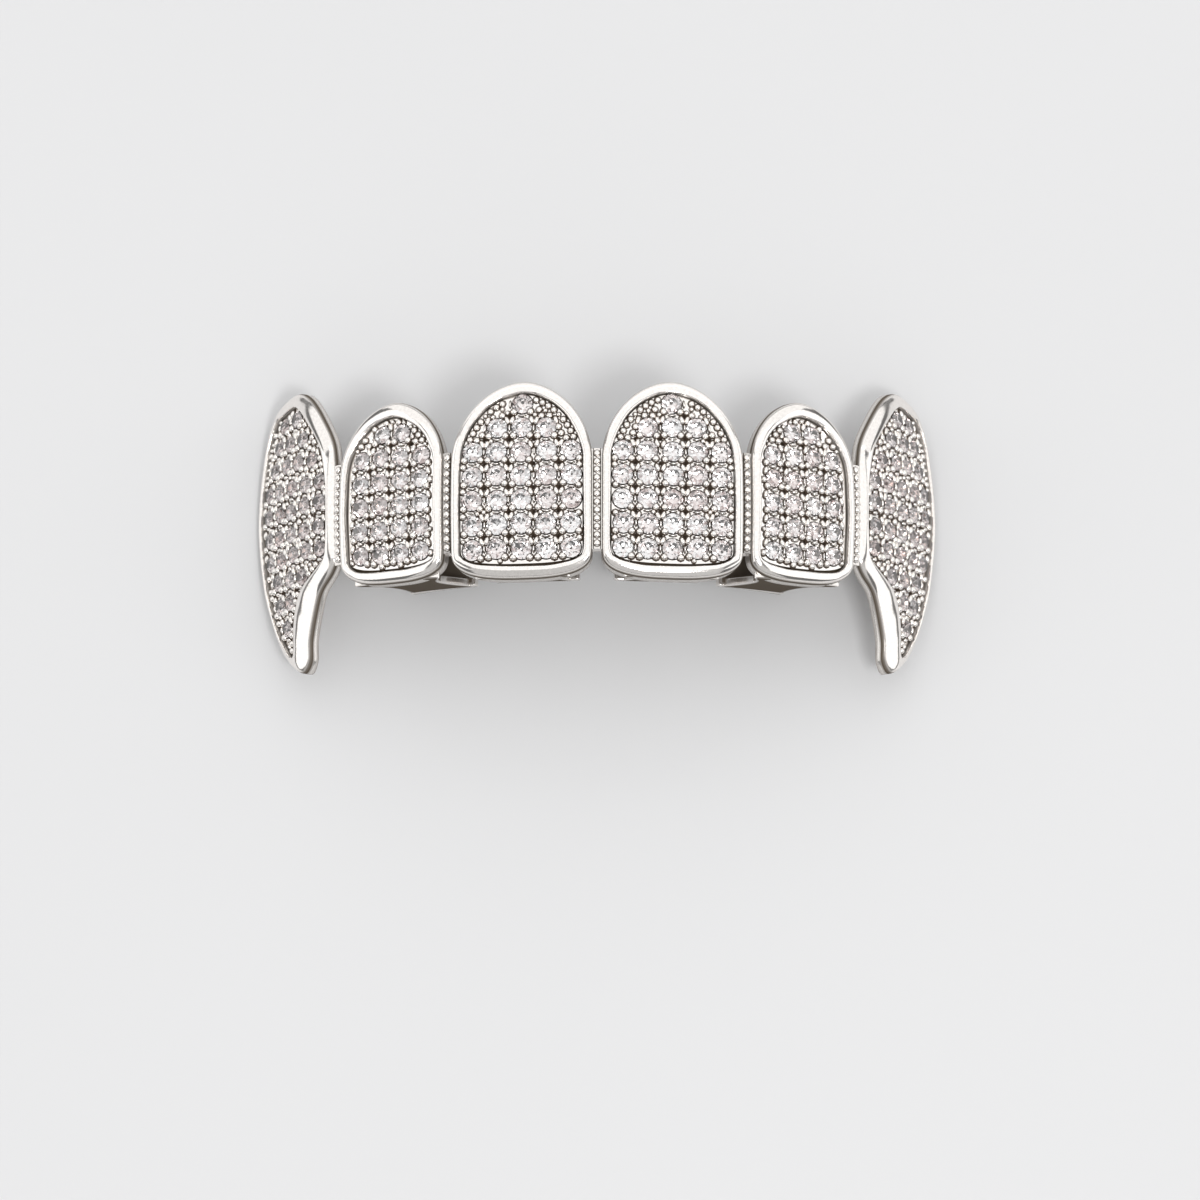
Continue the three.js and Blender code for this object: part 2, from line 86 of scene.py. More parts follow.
class Half(Enum):
    """The two halves of a tooth's outline: near the midline, and away from it."""

    MESIAL = -1
    DISTAL = 1


# Layout of the arch


@dataclass(frozen=True)
class ToothRow:
    """How one tooth faces and curves, and the gap between it and the tooth before it."""

    name: ToothName
    width: float
    yaw: float
    turn: float
    bulge_height: float
    bulge_radius: float
    depth: float
    gap_width: float
    gap_yaw: float


TOOTH_ROWS = (
    ToothRow(ToothName.CENTRAL, 8.6, 8.0, 10.0, 5.0, 32.0, 1.25, 0.27, 0.0),
    ToothRow(ToothName.LATERAL, 6.9, 26.0, 16.0, 5.0, 30.0, 1.1, 0.46, 16.0),
    ToothRow(ToothName.FANG, 8.6, 55.0, 24.0, 5.5, 52.0, 0.82, 0.6, 38.0),
)


@dataclass(frozen=True)
class Tooth:
    """A tooth's curved face, placed in the arch."""

    row: ToothRow
    yaw: float
    radius: float
    centre_x: float
    centre_z: float

    def on_sheet(self, facing: Points, v: Points, n: Points) -> Points:
        """Give points on the upright curved sheet at distance n out of the face.

        Args:
            facing: Direction of the sheet at each point, in radians.
            v: Height of each point.
            n: Distance of each point out of the face.

        Returns:
            The points, one row each.
        """
        across = self.centre_x + self.radius * (np.sin(facing) - math.sin(self.yaw)) + np.sin(facing) * n
        out = self.centre_z + self.radius * (np.cos(facing) - math.cos(self.yaw)) + np.cos(facing) * n
        return np.column_stack((across, v, out))

    def face(self, flat: Points) -> Points:
        """Wrap flat points onto the bulged face.

        Args:
            flat: Rows of s, v and n.

        Returns:
            The points, one row each.
        """
        s, v, n = flat.T
        bulge = (v - self.row.bulge_height) ** 2 / (2 * self.row.bulge_radius)
        return self.on_sheet(self.yaw + s / self.radius, v, n - bulge)

    def behind(self, flat: Points) -> Points:
        """Wrap flat points onto sheets behind the tooth, with s a true distance at its depth."""
        s, v, n = flat.T
        return self.on_sheet(self.yaw + s / (self.radius + n), v, n)


@dataclass
class Arch:
    """The curve of the teeth, and its place in the frame of the solids."""

    shift_y: float = -4.425
    shift_z: float = 11.5257
    teeth: dict[ToothName, Tooth] = field(init=False)

    def __post_init__(self) -> None:
        """Place the teeth of one side, from the midline out."""
        self.teeth = {}
        x = z = 0.0
        for row in TOOTH_ROWS:
            gap_yaw = math.radians(row.gap_yaw)
            x += row.gap_width * math.cos(gap_yaw)
            z -= row.gap_width * math.sin(gap_yaw)
            yaw = math.radians(row.yaw)
            half_turn = math.radians(row.turn) / 2
            radius = row.width / (2 * half_turn)
            centre_x = x + radius * (math.sin(yaw) - math.sin(yaw - half_turn))
            centre_z = z + radius * (math.cos(yaw) - math.cos(yaw - half_turn))
            self.teeth[row.name] = Tooth(row, yaw, radius, centre_x, centre_z)
            x += radius * (math.sin(yaw + half_turn) - math.sin(yaw - half_turn))
            z += radius * (math.cos(yaw + half_turn) - math.cos(yaw - half_turn))

    def to_row(self, points: Points, side: Side) -> Points:
        """Move points of the right-hand side to a side of the solids' frame.

        Args:
            points: Points in the arch, in millimetres.
            side: The side that they go to.

        Returns:
            The points in metres.
        """
        return (points + np.array((0.0, self.shift_y, self.shift_z))) * np.array((side.value, 1.0, 1.0)) * MM


# Outlines of the caps and of the stone fields


@dataclass(frozen=True)
class IncisorShape:
    """An incisor's outline: an arch over the shoulder, and a shallow bow at the biting edge."""

    middle: float
    half_width: float
    bottom: float
    corner: float
    shoulder: float
    top: float
    arch_power: float = 1.85
    bite_power: float = 2.7
    quarter_points: int = 25

    def half(self, half: Half) -> Points:
        """Give one half of the outline, from the top of the arch to the middle of the biting edge.

        Args:
            half: The half that is wanted.

        Returns:
            Points in s and v.
        """
        angle = np.linspace(0, math.pi / 2, self.quarter_points)
        arch = self._quarter(angle, self.arch_power, self.shoulder, self.top - self.shoulder, half)
        bite = self._quarter(angle, self.bite_power, self.bottom + self.corner, -self.corner, half)
        return np.vstack((arch, bite[::-1]))

    def _quarter(self, angle: Points, power: float, start: float, height: float, half: Half) -> Points:
        """Give a quarter of a rounded box that rises by height from start."""
        s = self.middle + half.value * self.half_width * np.sin(angle) ** (2 / power)
        return np.column_stack((s, start + height * np.cos(angle) ** (2 / power)))


@dataclass(frozen=True)
class FangShape:
    """A fang's outline as rows of height, mesial edge and distal edge."""

    rows: tuple[tuple[float, float, float], ...]
    span_points: int = 12

    def half(self, half: Half) -> Points:
        """Give one half of the outline, from the top to the tip, on a smooth curve through the rows.

        Args:
            half: The half that is wanted.

        Returns:
            Points in s and v.
        """
        column = 1 if half is Half.MESIAL else 2
        knots = np.array([(row[column], row[0]) for row in self.rows])
        ends = np.vstack((knots[:1], knots, knots[-1:]))
        pieces = []
        t = np.linspace(0, 1, self.span_points, endpoint=False)[:, None]
        for p0, p1, p2, p3 in zip(ends[:-3], ends[1:-2], ends[2:-1], ends[3:]):
            a = 0.5 * (p2 - p0)
            b = 0.5 * (p3 - p1)
            cubic = (2 * p1 - 2 * p2 + a + b) * t**3 + (-3 * p1 + 3 * p2 - 2 * a - b) * t**2
            pieces.append(cubic + a * t + p1)
        return np.vstack((*pieces, knots[-1:]))


@dataclass(frozen=True)
class CapShapes:
    """The rim and the stone field of one cap."""

    rim: Union[IncisorShape, FangShape]
    field: Union[IncisorShape, FangShape]

    def ring(self, which: str, half_count: int) -> Points:
        """Give a closed ring of points: down the mesial half and back up the distal half.

        Args:
            which: Either rim or field.
            half_count: Number of spans on each half.

        Returns:
            Points in s and v, in order round the ring.
        """
        shape = getattr(self, which)
        mesial = spaced_by_bend(shape.half(Half.MESIAL), half_count)
        distal = spaced_by_bend(shape.half(Half.DISTAL), half_count)
        return np.vstack((mesial[:-1], distal[::-1][:-1]))


def run_along(line: Points) -> Points:
    """Give the distance along a line to each of its points."""
    return np.concatenate(([0.0], np.cumsum(np.linalg.norm(np.diff(line, axis=0), axis=1))))


def points_at(line: Points, measure: Points, wanted: Points) -> Points:
    """Give the points of a line where a measure along it has the wanted values."""
    return np.column_stack([np.interp(wanted, measure, axis) for axis in line.T])


def spaced_by_bend(line: Points, count: int) -> Points:
    """Space points along a line, closer together where it bends.

    Args:
        line: Points of the line.
        count: Number of spans wanted.

    Returns:
        count + 1 points.
    """
    along = run_along(line)
    fine = points_at(line, along, np.linspace(0, along[-1], FINE_SPANS + 1))
    heading = np.unwrap(np.arctan2(*np.diff(fine, axis=0).T[::-1]))
    bend = np.concatenate(([0.0], np.abs(np.diff(heading)), [0.0]))
    even = 1 / FINE_SPANS
    measure = np.cumsum(even + bend / bend.sum()) - even
    return points_at(fine, measure, np.linspace(0, measure[-1], count + 1))


CAP_SHAPES = {
    ToothName.CENTRAL: CapShapes(
        rim=IncisorShape(0.0, 4.27, 0.0, 1.7, 7.3, 12.2),
        field=IncisorShape(0.0, 3.75, 0.85, 0.9, 7.1, 11.45),
    ),
    ToothName.LATERAL: CapShapes(
        rim=IncisorShape(0.05, 3.47, 0.2, 1.6, 7.3, 11.4),
        field=IncisorShape(0.1, 2.95, 1.0, 0.9, 7.0, 10.45),
    ),
    ToothName.FANG: CapShapes(
        rim=FangShape((
            (13.25, -0.2, -0.2),
            (12.6, -1.3, 1.75),
            (11.4, -2.5, 2.8),
            (9.6, -3.8, 3.3),
            (8.0, -4.22, 3.55),
            (6.0, -4.32, 3.75),
            (4.0, -4.32, 3.6),
            (2.2, -4.28, 3.3),
            (1.2, -3.7, 3.1),
            (0.3, -2.65, 2.87),
            (-1.0, -1.95, 2.35),
            (-2.5, -1.25, 1.68),
            (-3.6, -1.0, 0.9),
            (-4.4, -0.2, -0.2),
        )),
        field=FangShape((
            (12.4, 0.1, 0.1),
            (11.8, -0.75, 2.05),
            (10.4, -2.1, 2.82),
            (9.0, -3.05, 3.14),
            (7.0, -3.65, 3.38),
            (5.0, -3.72, 3.44),
            (3.0, -3.65, 3.16),
            (2.2, -3.3, 3.03),
            (1.4, -2.2, 2.89),
            (0.6, -1.05, 2.7),
            (-0.4, -0.4, 2.38),
            (-1.6, 0.05, 1.84),
            (-2.7, 0.3, 1.05),
            (-3.2, 0.5, 0.5),
        )),
    ),
}


# Hand work in edit mode


class Workbench:
    """The operators that every piece is made with."""

    @staticmethod
    def clear() -> None:
        """Leave edit mode and deselect everything."""
        if bpy.context.object is not None and bpy.context.object.mode != "OBJECT":
            bpy.ops.object.mode_set(mode="OBJECT")
        bpy.ops.object.select_all(action="DESELECT")

    @staticmethod
    def pick(obj: bpy.types.Object) -> None:
        """Select one object alone and make it active.

        Args:
            obj: The object.
        """
        Workbench.clear()
        bpy.context.view_layer.objects.active = obj
        obj.select_set(True)

    @staticmethod
    def modify(obj: bpy.types.Object, kind: str, **settings: Any) -> None:
        """Add a modifier, set it and apply it.

        Args:
            obj: The object that it works on.
            kind: The modifier's type.
            **settings: The modifier's own settings.
        """
        Workbench.pick(obj)
        bpy.ops.object.modifier_add(type=kind)
        modifier = obj.modifiers[-1]
        for name, value in settings.items():
            setattr(modifier, name, value)
        bpy.ops.object.modifier_apply(modifier=modifier.name)

    @staticmethod
    def copy(obj: bpy.types.Object, name: str) -> bpy.types.Object:
        """Copy an object with a mesh of its own.

        Args:
            obj: The object.
            name: Name of the copy.

        Returns:
            The copy.
        """
        twin = obj.copy()
        twin.data = obj.data.copy()
        twin.name = name
        bpy.context.scene.collection.objects.link(twin)
        return twin

    @staticmethod
    def wrap(obj: bpy.types.Object, mapping: Mapping, side: Side = Side.RIGHT) -> bpy.types.Object:
        """Move every point of a flat piece to its place, and keep its faces pointing out.

        Args:
            obj: The flat piece.
            mapping: Where each flat point goes.
            side: The side that the mapping puts it on.

        Returns:
            The same object.
        """
        flat = np.empty(len(obj.data.vertices) * 3)
        obj.data.vertices.foreach_get("co", flat)
        obj.data.vertices.foreach_set("co", mapping(flat.reshape(-1, 3)).ravel())
        if side is Side.LEFT:
            obj.data.flip_normals()
        obj.data.update()
        return obj

    @staticmethod
    def join(pieces: Sequence[bpy.types.Object], name: str) -> bpy.types.Object:
        """Join pieces into one object.

        Args:
            pieces: The pieces.
            name: Name of the whole.

        Returns:
            The whole.
        """
        Workbench.pick(pieces[0])
        for piece in pieces[1:]:
            piece.select_set(True)
        bpy.ops.object.join()
        whole = bpy.context.object
        whole.name = name
        whole.data.name = name
        return whole

    @staticmethod
    def smooth(obj: bpy.types.Object, degrees: float) -> None:
        """Shade smooth across edges that bend less than an angle."""
        Workbench.pick(obj)
        bpy.ops.object.shade_smooth_by_angle(angle=math.radians(degrees))


class RingModel:
    """A closed skin that is extruded ring by ring in edit mode."""

    # Point attribute with painted shade: where it is set, the metal is drawn darker and duller, as shade and
    # dark reflections.
    PAINTED_SHADE = "tarnish"

    def __init__(self, name: str, rings: Sequence[Points], tarnish: Sequence[PaintedShade]) -> None:
        """Start with a circle, pull its points to the first ring, and extrude through the others.

        Args:
            name: Name of the new object.
            rings: Points of each ring, in order.
            tarnish: How much painted shade each ring carries, from 0 to 1, at all its points or at each.
        """
        Workbench.clear()
        bpy.ops.mesh.primitive_circle_add(vertices=len(rings[0]), radius=1.0, fill_type="NOTHING")
        self.obj = bpy.context.object
        self.obj.name = name
        self.obj.data.attributes.new(self.PAINTED_SHADE, "FLOAT", "POINT")
        bpy.ops.object.mode_set(mode="EDIT")
        bpy.ops.mesh.select_mode(type="VERT")
        bpy.ops.mesh.select_all(action="SELECT")
        self.first = list(range(len(rings[0])))
        self.last = self.first
        self.middles = (rings[0].mean(axis=0), rings[-1].mean(axis=0))
        self._place(rings[0], tarnish[0])
        for ring, shade_paint in zip(rings[1:], tarnish[1:]):
            self._extrude()
            self._place(ring, shade_paint)

    def close(self, tarnish: tuple[float, float] = (0.0, 0.0)) -> bpy.types.Object:
        """Fill both ends from their middles, and turn the faces out.

        Args:
            tarnish: How much painted shade the middles of the first and the last ring carry.

        Returns:
            The finished object, in object mode.
        """
        ends = zip((self.last, self.first), self.middles[::-1], tarnish[::-1])
        for ring, point, shade_paint in ends:
            self._select(ring)
            bpy.ops.mesh.edge_face_add()
            bpy.ops.mesh.poke()
            cage = self._cage()
            middle = cage.verts[len(cage.verts) - 1]
            middle.co = point
            middle[cage.verts.layers.float[self.PAINTED_SHADE]] = shade_paint
        bpy.ops.mesh.select_all(action="SELECT")
        bpy.ops.mesh.normals_make_consistent(inside=False)
        bpy.ops.object.mode_set(mode="OBJECT")
        return self.obj

    def _extrude(self) -> None:
        """Extrude the last ring, and find its new points."""
        bpy.ops.mesh.extrude_edges_move()
        cage = self._cage()
        new = []
        for index in self.last:
            corner = cage.verts[index]
            ends = [edge.other_vert(corner) for edge in corner.link_edges]
            new.append(next(end.index for end in ends if end.select))
        self.last = new

    def _cage(self) -> bmesh.types.BMesh:
        """Give the edit mesh with its tables ready.

        Returns:
            The edit mesh.
        """
        cage = bmesh.from_edit_mesh(self.obj.data)
        cage.verts.index_update()
        cage.verts.ensure_lookup_table()
        return cage

    def _select(self, ring: Sequence[int]) -> None:
        """Select the edges of one ring alone.

        Args:
            ring: Numbers of the ring's points, in order.
        """
        bpy.ops.mesh.select_all(action="DESELECT")
        cage = self._cage()
        for here, there in zip(ring, [*ring[1:], ring[0]]):
            edge = cage.edges.get((cage.verts[here], cage.verts[there]))
            edge.select_set(True)
        bmesh.update_edit_mesh(self.obj.data)

    def _place(self, ring: Points, tarnish: PaintedShade) -> None:
        """Put the last ring's points in place.

        Args:
            ring: Where they go.
            tarnish: How much painted shade the points carry.
        """
        cage = self._cage()
        layer = cage.verts.layers.float[self.PAINTED_SHADE]
        for index, point, shade_paint in zip(self.last, ring, np.broadcast_to(tarnish, len(ring))):
            cage.verts[index].co = point
            cage.verts[index][layer] = shade_paint


@dataclass(frozen=True)
class Pattern:
    """A small mesh that is modelled once and set many times."""

    points: Points
    faces: tuple[tuple[int, ...], ...]
    slots: tuple[int, ...]
    heights: tuple[float, ...]

    @staticmethod
    def taken_from(obj: bpy.types.Object) -> Pattern:
        """Take the mesh of a modelled object, and remove the object.

        Args:
            obj: The modelled object.

        Returns:
            The pattern.
        """
        points = np.array([vertex.co for vertex in obj.data.vertices])
        polygons = obj.data.polygons
        faces = tuple(tuple(face.vertices) for face in polygons)
        slots = tuple(face.material_index for face in polygons)
        heights = tuple(face.center.z for face in polygons)
        bpy.data.objects.remove(obj)
        return Pattern(points, faces, slots, heights)

    def set_at(
        self,
        name: str,
        copies: Sequence[Points],
        materials: Sequence[bpy.types.Material],
    ) -> bpy.types.Object:
        """Join copies into one object.

        Args:
            name: Name of the object.
            copies: The pattern's points, moved to each place.
            materials: The finishes of its slots.

        Returns:
            The object, with all copies in one mesh.
        """
        count = len(self.points)
        faces = [
            tuple(corner + number * count for corner in face)
            for number in range(len(copies))
            for face in self.faces
        ]
        mesh = bpy.data.meshes.new(name)
        mesh.from_pydata(np.vstack(copies).tolist(), [], faces)
        for material in materials:
            mesh.materials.append(material)
        mesh.polygons.foreach_set("material_index", self.slots * len(copies))
        mesh.update()
        obj = bpy.data.objects.new(name, mesh)
        bpy.context.scene.collection.objects.link(obj)
        return obj


@dataclass(frozen=True)
class RoundBead:
    """A cast bead: a dome on a narrow collar that carries painted shade, whose origin is on the metal that
    it stands on.
    """

    radius: float
    stretch: float
    lift: float
    collar: float = 1.32
    collar_height: float = 0.008
    sink: float = 0.03

    def model(self) -> Pattern:
        """Model the bead: the upper part of a ball, drawn out to its collar and down into the metal.

        Returns:
            The bead as a pattern.
        """
        Workbench.clear()
        bpy.ops.mesh.primitive_uv_sphere_add(segments=8, ring_count=6, radius=self.radius)
        obj = bpy.context.object
        bpy.ops.object.mode_set(mode="EDIT")
        bpy.ops.mesh.select_all(action="SELECT")
        bpy.ops.transform.resize(value=(1, 1, self.stretch), center_override=(0, 0, 0))
        bpy.ops.transform.translate(value=(0, 0, self.lift))
        bpy.ops.mesh.select_all(action="SELECT")
        bpy.ops.mesh.bisect(plane_co=(0, 0, self.collar_height), plane_no=(0, 0, 1), clear_inner=True)
        bpy.ops.mesh.extrude_edges_move()
        bpy.ops.transform.resize(value=(self.collar, self.collar, 1), center_override=(0, 0, 0))
        bpy.ops.mesh.extrude_edges_move(TRANSFORM_OT_translate={"value": (0, 0, -self.sink)})
        bpy.ops.mesh.edge_face_add()
        bpy.ops.mesh.select_all(action="SELECT")
        bpy.ops.mesh.normals_make_consistent(inside=False)
        bpy.ops.object.mode_set(mode="OBJECT")
        # The collar and the part in the metal take slot 1, the painted recess shade, as a dark ring round
        # the bead.
        for face in obj.data.polygons:
            face.material_index = int(face.center.z <= self.collar_height + LEVEL)
        return Pattern.taken_from(obj)


# Shader expressions

Value = Union["Signal", float, Sequence[float]]


class Signal:
    """A shader socket that takes part in Python expressions."""

    def __init__(self, graph: Graph, socket: bpy.types.NodeSocket) -> None:
        """Wrap a socket of a graph."""
        self.graph = graph
        self.socket = socket

    def _math(self, operation: str, left: Value, right: Value) -> Signal:
        """Add a Math node for one operation."""
        return self.graph.node("ShaderNodeMath", {"operation": operation}, {0: left, 1: right})

    def __add__(self, other: Value) -> Signal:
        """Add."""
        return self._math("ADD", self, other)

    def __radd__(self, other: Value) -> Signal:
        """Add, from the right."""
        return self._math("ADD", other, self)

    def __sub__(self, other: Value) -> Signal:
        """Subtract."""
        return self._math("SUBTRACT", self, other)

    def __rsub__(self, other: Value) -> Signal:
        """Subtract from a number."""
        return self._math("SUBTRACT", other, self)

    def __mul__(self, other: Value) -> Signal:
        """Multiply."""
        return self._math("MULTIPLY", self, other)

    def __rmul__(self, other: Value) -> Signal:
        """Multiply, from the right."""
        return self._math("MULTIPLY", other, self)


class Graph:
    """The nodes of one material."""

    def __init__(self, name: str) -> None:
        """Start a material with a Principled shader.

        Args:
            name: Name of the material.
        """
        self.material = bpy.data.materials.new(name)
        self.material.use_nodes = True
        self.tree = self.material.node_tree
        self.shader = next(node for node in self.tree.nodes if node.type == "BSDF_PRINCIPLED")

    def node(
        self,
        kind: str,
        settings: dict[str, Any],
        inputs: dict[Union[str, int], Value],
        output: Union[str, int] = 0,
    ) -> Signal:
        """Add a node.

        Args:
            kind: The node's type.
            settings: Its settings. stops holds a ramp's places and colours.
            inputs: Values or signals of its sockets.
            output: The socket that is wanted.

        Returns:
            The wanted output.
        """
        node = self.tree.nodes.new(kind)
        for name, value in settings.items():
            if name == "stops":
                self._set_stops(node.color_ramp, value)
            else:
                setattr(node, name, value)
        for name, value in inputs.items():
            self._feed(node.inputs[name], value)
        return Signal(self, node.outputs[output])

    def surface(self, **inputs: Value) -> None:
        """Feed the Principled shader, with underscores for spaces in its sockets' names."""
        for name, value in inputs.items():
            self._feed(self.shader.inputs[name.replace("_", " ")], value)

    def noise(self, scale: float, detail: float = 2.0, roughness: float = 0.5) -> Signal:
        """Add noise on the piece's own coordinates.

        Args:
            scale: Cells per millimetre.
            detail: Finer layers of noise.
            roughness: Strength of the finer layers.

        Returns:
            The noise, from 0 to 1.
        """
        place = self.node("ShaderNodeTexCoord", {}, {}, "Object")
        inputs = {"Vector": place, "Scale": scale / MM, "Detail": detail, "Roughness": roughness}
        return self.node("ShaderNodeTexNoise", {}, inputs, "Fac")

    def blend(self, factor: Value, first: Value, second: Value) -> Signal:
        """Mix two colours."""
        settings = {"data_type": "RGBA"}
        return self.node("ShaderNodeMix", settings, {0: factor, 6: first, 7: second}, 2)

    def ramp(self, factor: Value, stops: Sequence[tuple[float, float]]) -> Signal:
        """Turn a value by a ramp of grey stops."""
        colours = [(place, (grey, grey, grey, 1.0)) for place, grey in stops]
        return self.node("ShaderNodeValToRGB", {"stops": colours}, {"Fac": factor})

    def bump(self, height: Value, strength: float, depth_mm: float) -> Signal:
        """Turn heights into a normal."""
        inputs = {"Height": height, "Strength": strength, "Distance": depth_mm * MM}
        return self.node("ShaderNodeBump", {}, inputs, "Normal")

    def _feed(self, socket: bpy.types.NodeSocket, value: Value) -> None:
        """Link a signal to a socket, or set its value.

        Args:
            socket: The socket.
            value: A signal or a value.
        """
        if isinstance(value, Signal):
            self.tree.links.new(value.socket, socket)
        elif isinstance(value, (tuple, list)) and len(value) == 3 and socket.type == "RGBA":
            socket.default_value = (*value, 1.0)
        else:
            socket.default_value = value

    @staticmethod
    def _set_stops(ramp: bpy.types.ColorRamp, stops: Sequence[tuple[float, Sequence[float]]]) -> None:
        """Give a ramp its stops.

        Args:
            ramp: The ramp.
            stops: Places and colours.
        """
        while len(ramp.elements) < len(stops):
            ramp.elements.new(0.5)
        for element, (place, colour) in zip(ramp.elements, stops):
            element.position = place
            element.color = colour


# Finishes


@dataclass(frozen=True)
class PolishedMetal:
    """White plated metal, polished by hand, with painted shade where a piece's points carry it: near-black,
    rough, unmetallic colour in place of shade and dark reflections.
    """

    name: str = "polished_white_metal"
    bright: tuple[float, float, float] = (0.955, 0.92, 0.885)
    shade: tuple[float, float, float] = (0.86, 0.82, 0.785)
    # Colour of the painted shade, put in recesses, along edges and on the straps' faces.
    painted_shade_colour: tuple[float, float, float] = (0.085, 0.066, 0.047)
    roughness: float = 0.07
    mark_roughness: float = 0.06
    shade_paint_roughness: float = 0.3
    mark_scale: float = 6.0
    mark_stops: tuple[tuple[float, float], ...] = ((0.35, 0.0), (0.75, 1.0))
    wave_scale: float = 0.55
    wave_strength: float = 0.35
    wave_depth: float = 0.035

    def material(self) -> bpy.types.Material:
        """Make the material.

        Returns:
            The material, which reads the tarnish of a piece's points.
        """
        graph = Graph(self.name)
        wave = graph.noise(self.wave_scale)
        marks = graph.noise(self.mark_scale, detail=3.0, roughness=0.6)
        # Painted shade: blends the colour to near-black and takes away the metal where the attribute is set.
        shade_paint = graph.node("ShaderNodeAttribute", {"attribute_name": RingModel.PAINTED_SHADE}, {}, "Fac")
        metal = graph.blend(graph.ramp(marks, self.mark_stops), self.bright, self.shade)
        fine = self.mark_roughness * marks
        graph.surface(
            Base_Color=graph.blend(shade_paint, metal, self.painted_shade_colour),
            Metallic=1.0 - shade_paint,
            Specular_IOR_Level=0.0,
            Roughness=self.roughness + fine + self.shade_paint_roughness * shade_paint,
            Normal=graph.bump(wave + fine, self.wave_strength, self.wave_depth),
        )
        return graph.material


@dataclass(frozen=True)
class PaintedRecessShade:
    """Painted shade for the bottoms of the stone fields: grained near-black colour in the pits, on the
    beads' collars and in dark seats.
    """

    name: str = "recess_metal"
    # Colours of the painted shade, from the darkest to a little lighter by grain.
    dark: tuple[float, float, float] = (0.03, 0.02, 0.013)
    light: tuple[float, float, float] = (0.1, 0.072, 0.053)
    grain_scale: float = 5.0
    roughness: tuple[float, float] = (0.35, 0.25)
    grain_strength: float = 0.5
    grain_depth: float = 0.03

    def material(self) -> bpy.types.Material:
        """Make the material.

        Returns:
            The material.
        """
        graph = Graph(self.name)
        grain = graph.noise(self.grain_scale, detail=4.0, roughness=0.65)
        graph.surface(
            Base_Color=graph.blend(grain, self.dark, self.light),
            Specular_IOR_Level=0.05,
            Roughness=self.roughness[0] + self.roughness[1] * grain,
            Normal=graph.bump(grain, self.grain_strength, self.grain_depth),
        )
        return graph.material


@dataclass(frozen=True)
class ClearStone:
    """Clear cut stone, with a tone that changes from stone to stone, and painted dark reflections on some
    crown facets.
    """

    name: str = "clear_stone"
    white: tuple[float, float, float] = (1.0, 0.997, 0.997)
    rose: tuple[float, float, float] = (0.87, 0.73, 0.7)
    # Colour of the painted dark reflections on crown facets.
    painted_dark_reflection: tuple[float, float, float] = (0.26, 0.185, 0.175)
    rose_at: float = 0.4
    refraction: float = 2.15
    tint_name: str = "tint"

    def material(self) -> bpy.types.Material:
        """Make the material.

        Returns:
            The material, which reads the tone and the painted reflections of a piece's faces.
        """
        graph = Graph(self.name)
        tint = graph.node("ShaderNodeAttribute", {"attribute_name": self.tint_name}, {}, "Fac")
        stops = ((0.0, self.white), (self.rose_at, self.rose), (1.0, self.painted_dark_reflection))
        colours = [(place, (*colour, 1.0)) for place, colour in stops]
        graph.surface(
            Base_Color=graph.node("ShaderNodeValToRGB", {"stops": colours}, {"Fac": tint}),
            Roughness=0.0,
            IOR=self.refraction,
            Transmission_Weight=1.0,
        )
        return graph.material


@dataclass(frozen=True)
class PaleFloor:
    """Plain pale studio floor."""

    name: str = "pale_floor"
    light: tuple[float, float, float] = (0.72, 0.72, 0.725)
    dark: tuple[float, float, float] = (0.68, 0.68, 0.685)
    cloud_scale: float = 0.01
    roughness: float = 0.6

    def material(self) -> bpy.types.Material:
        """Make the material.

        Returns:
            The material.
        """
        graph = Graph(self.name)
        cloud = graph.noise(self.cloud_scale)
        graph.surface(Base_Color=graph.blend(cloud, self.dark, self.light), Roughness=self.roughness)
        return graph.material


# The cast frame


SectionRows = tuple[tuple[float, float, float], ...]


@dataclass(frozen=True)
class CapSection:
    """Section through a cap, from its recess over the rim to its hollow back.

    Each row is the place across the rim, from 0 at its outer edge to 1 at the stone field, the height
    out of the face, and how much painted shade the metal carries there: dark in the recess, on the outer
    wall below the rim and along the back edges, where shade and dark reflections fall. A flat rim and a
    rolled one have the same rows.
    """

    flat: SectionRows = (
        (1.0, -0.46, 1.0),
        (1.0, -0.15, 1.0),
        (1.0, 0.08, 0.7),
        (0.985, 0.19, 0.05),
        (0.945, 0.255, 0.0),
        (0.85, 0.295, 0.0),
        (0.6, 0.32, 0.0),
        (0.32, 0.315, 0.0),
        (0.15, 0.285, 0.0),
        (0.06, 0.2, 0.3),
        (0.0, 0.06, 0.95),
        (0.0, -0.12, 1.0),
        (0.0, -0.3, 0.35),
    )
    rolled: SectionRows = (
        (1.0, -0.46, 1.0),
        (1.0, -0.15, 1.0),
        (1.0, 0.08, 0.7),
        (0.985, 0.19, 0.05),
        (0.945, 0.245, 0.0),
        (0.85, 0.26, 0.0),
        (0.68, 0.2, 0.0),
        (0.5, 0.12, 0.0),
        (0.32, 0.03, 0.0),
        (0.15, -0.07, 0.0),
        (0.08, -0.16, 0.85),
        (0.0, -0.3, 1.0),
        (0.0, -0.44, 0.2),
    )
    roof: float = -0.8
    edge: float = 0.07
    # Painted shade at the middles of the recess floor and of the back roof.
    ends_shade_paint: tuple[float, float] = (1.0, 0.4)

    def rows(self, depth: float, roll: Points) -> list[tuple[Points, Points, Points]]:
        """Give all rows of a cap.

        Args:
            depth: How far back the cap's walls reach.
            roll: How far the rim is rolled over at each point round the cap, from 0 to 1.

        Returns:
            The place across, the height and the painted shade at each point, row by row.
        """
        front = np.array(self.flat)[:, :, None] * (1 - roll) + np.array(self.rolled)[:, :, None] * roll
        # Back wall rows; the third column is painted shade, darkest along the back edges.
        back = (
            (0.0, self.edge - depth, 0.5),
            (0.06, -depth, 0.9),
            (0.68, -depth, 0.3),
            (0.78, self.edge - depth, 0.3),
            (1.05, self.roof, 0.4),
        )
        return [*front, *(np.repeat(np.array(row)[:, None], len(roll), axis=1) for row in back)]


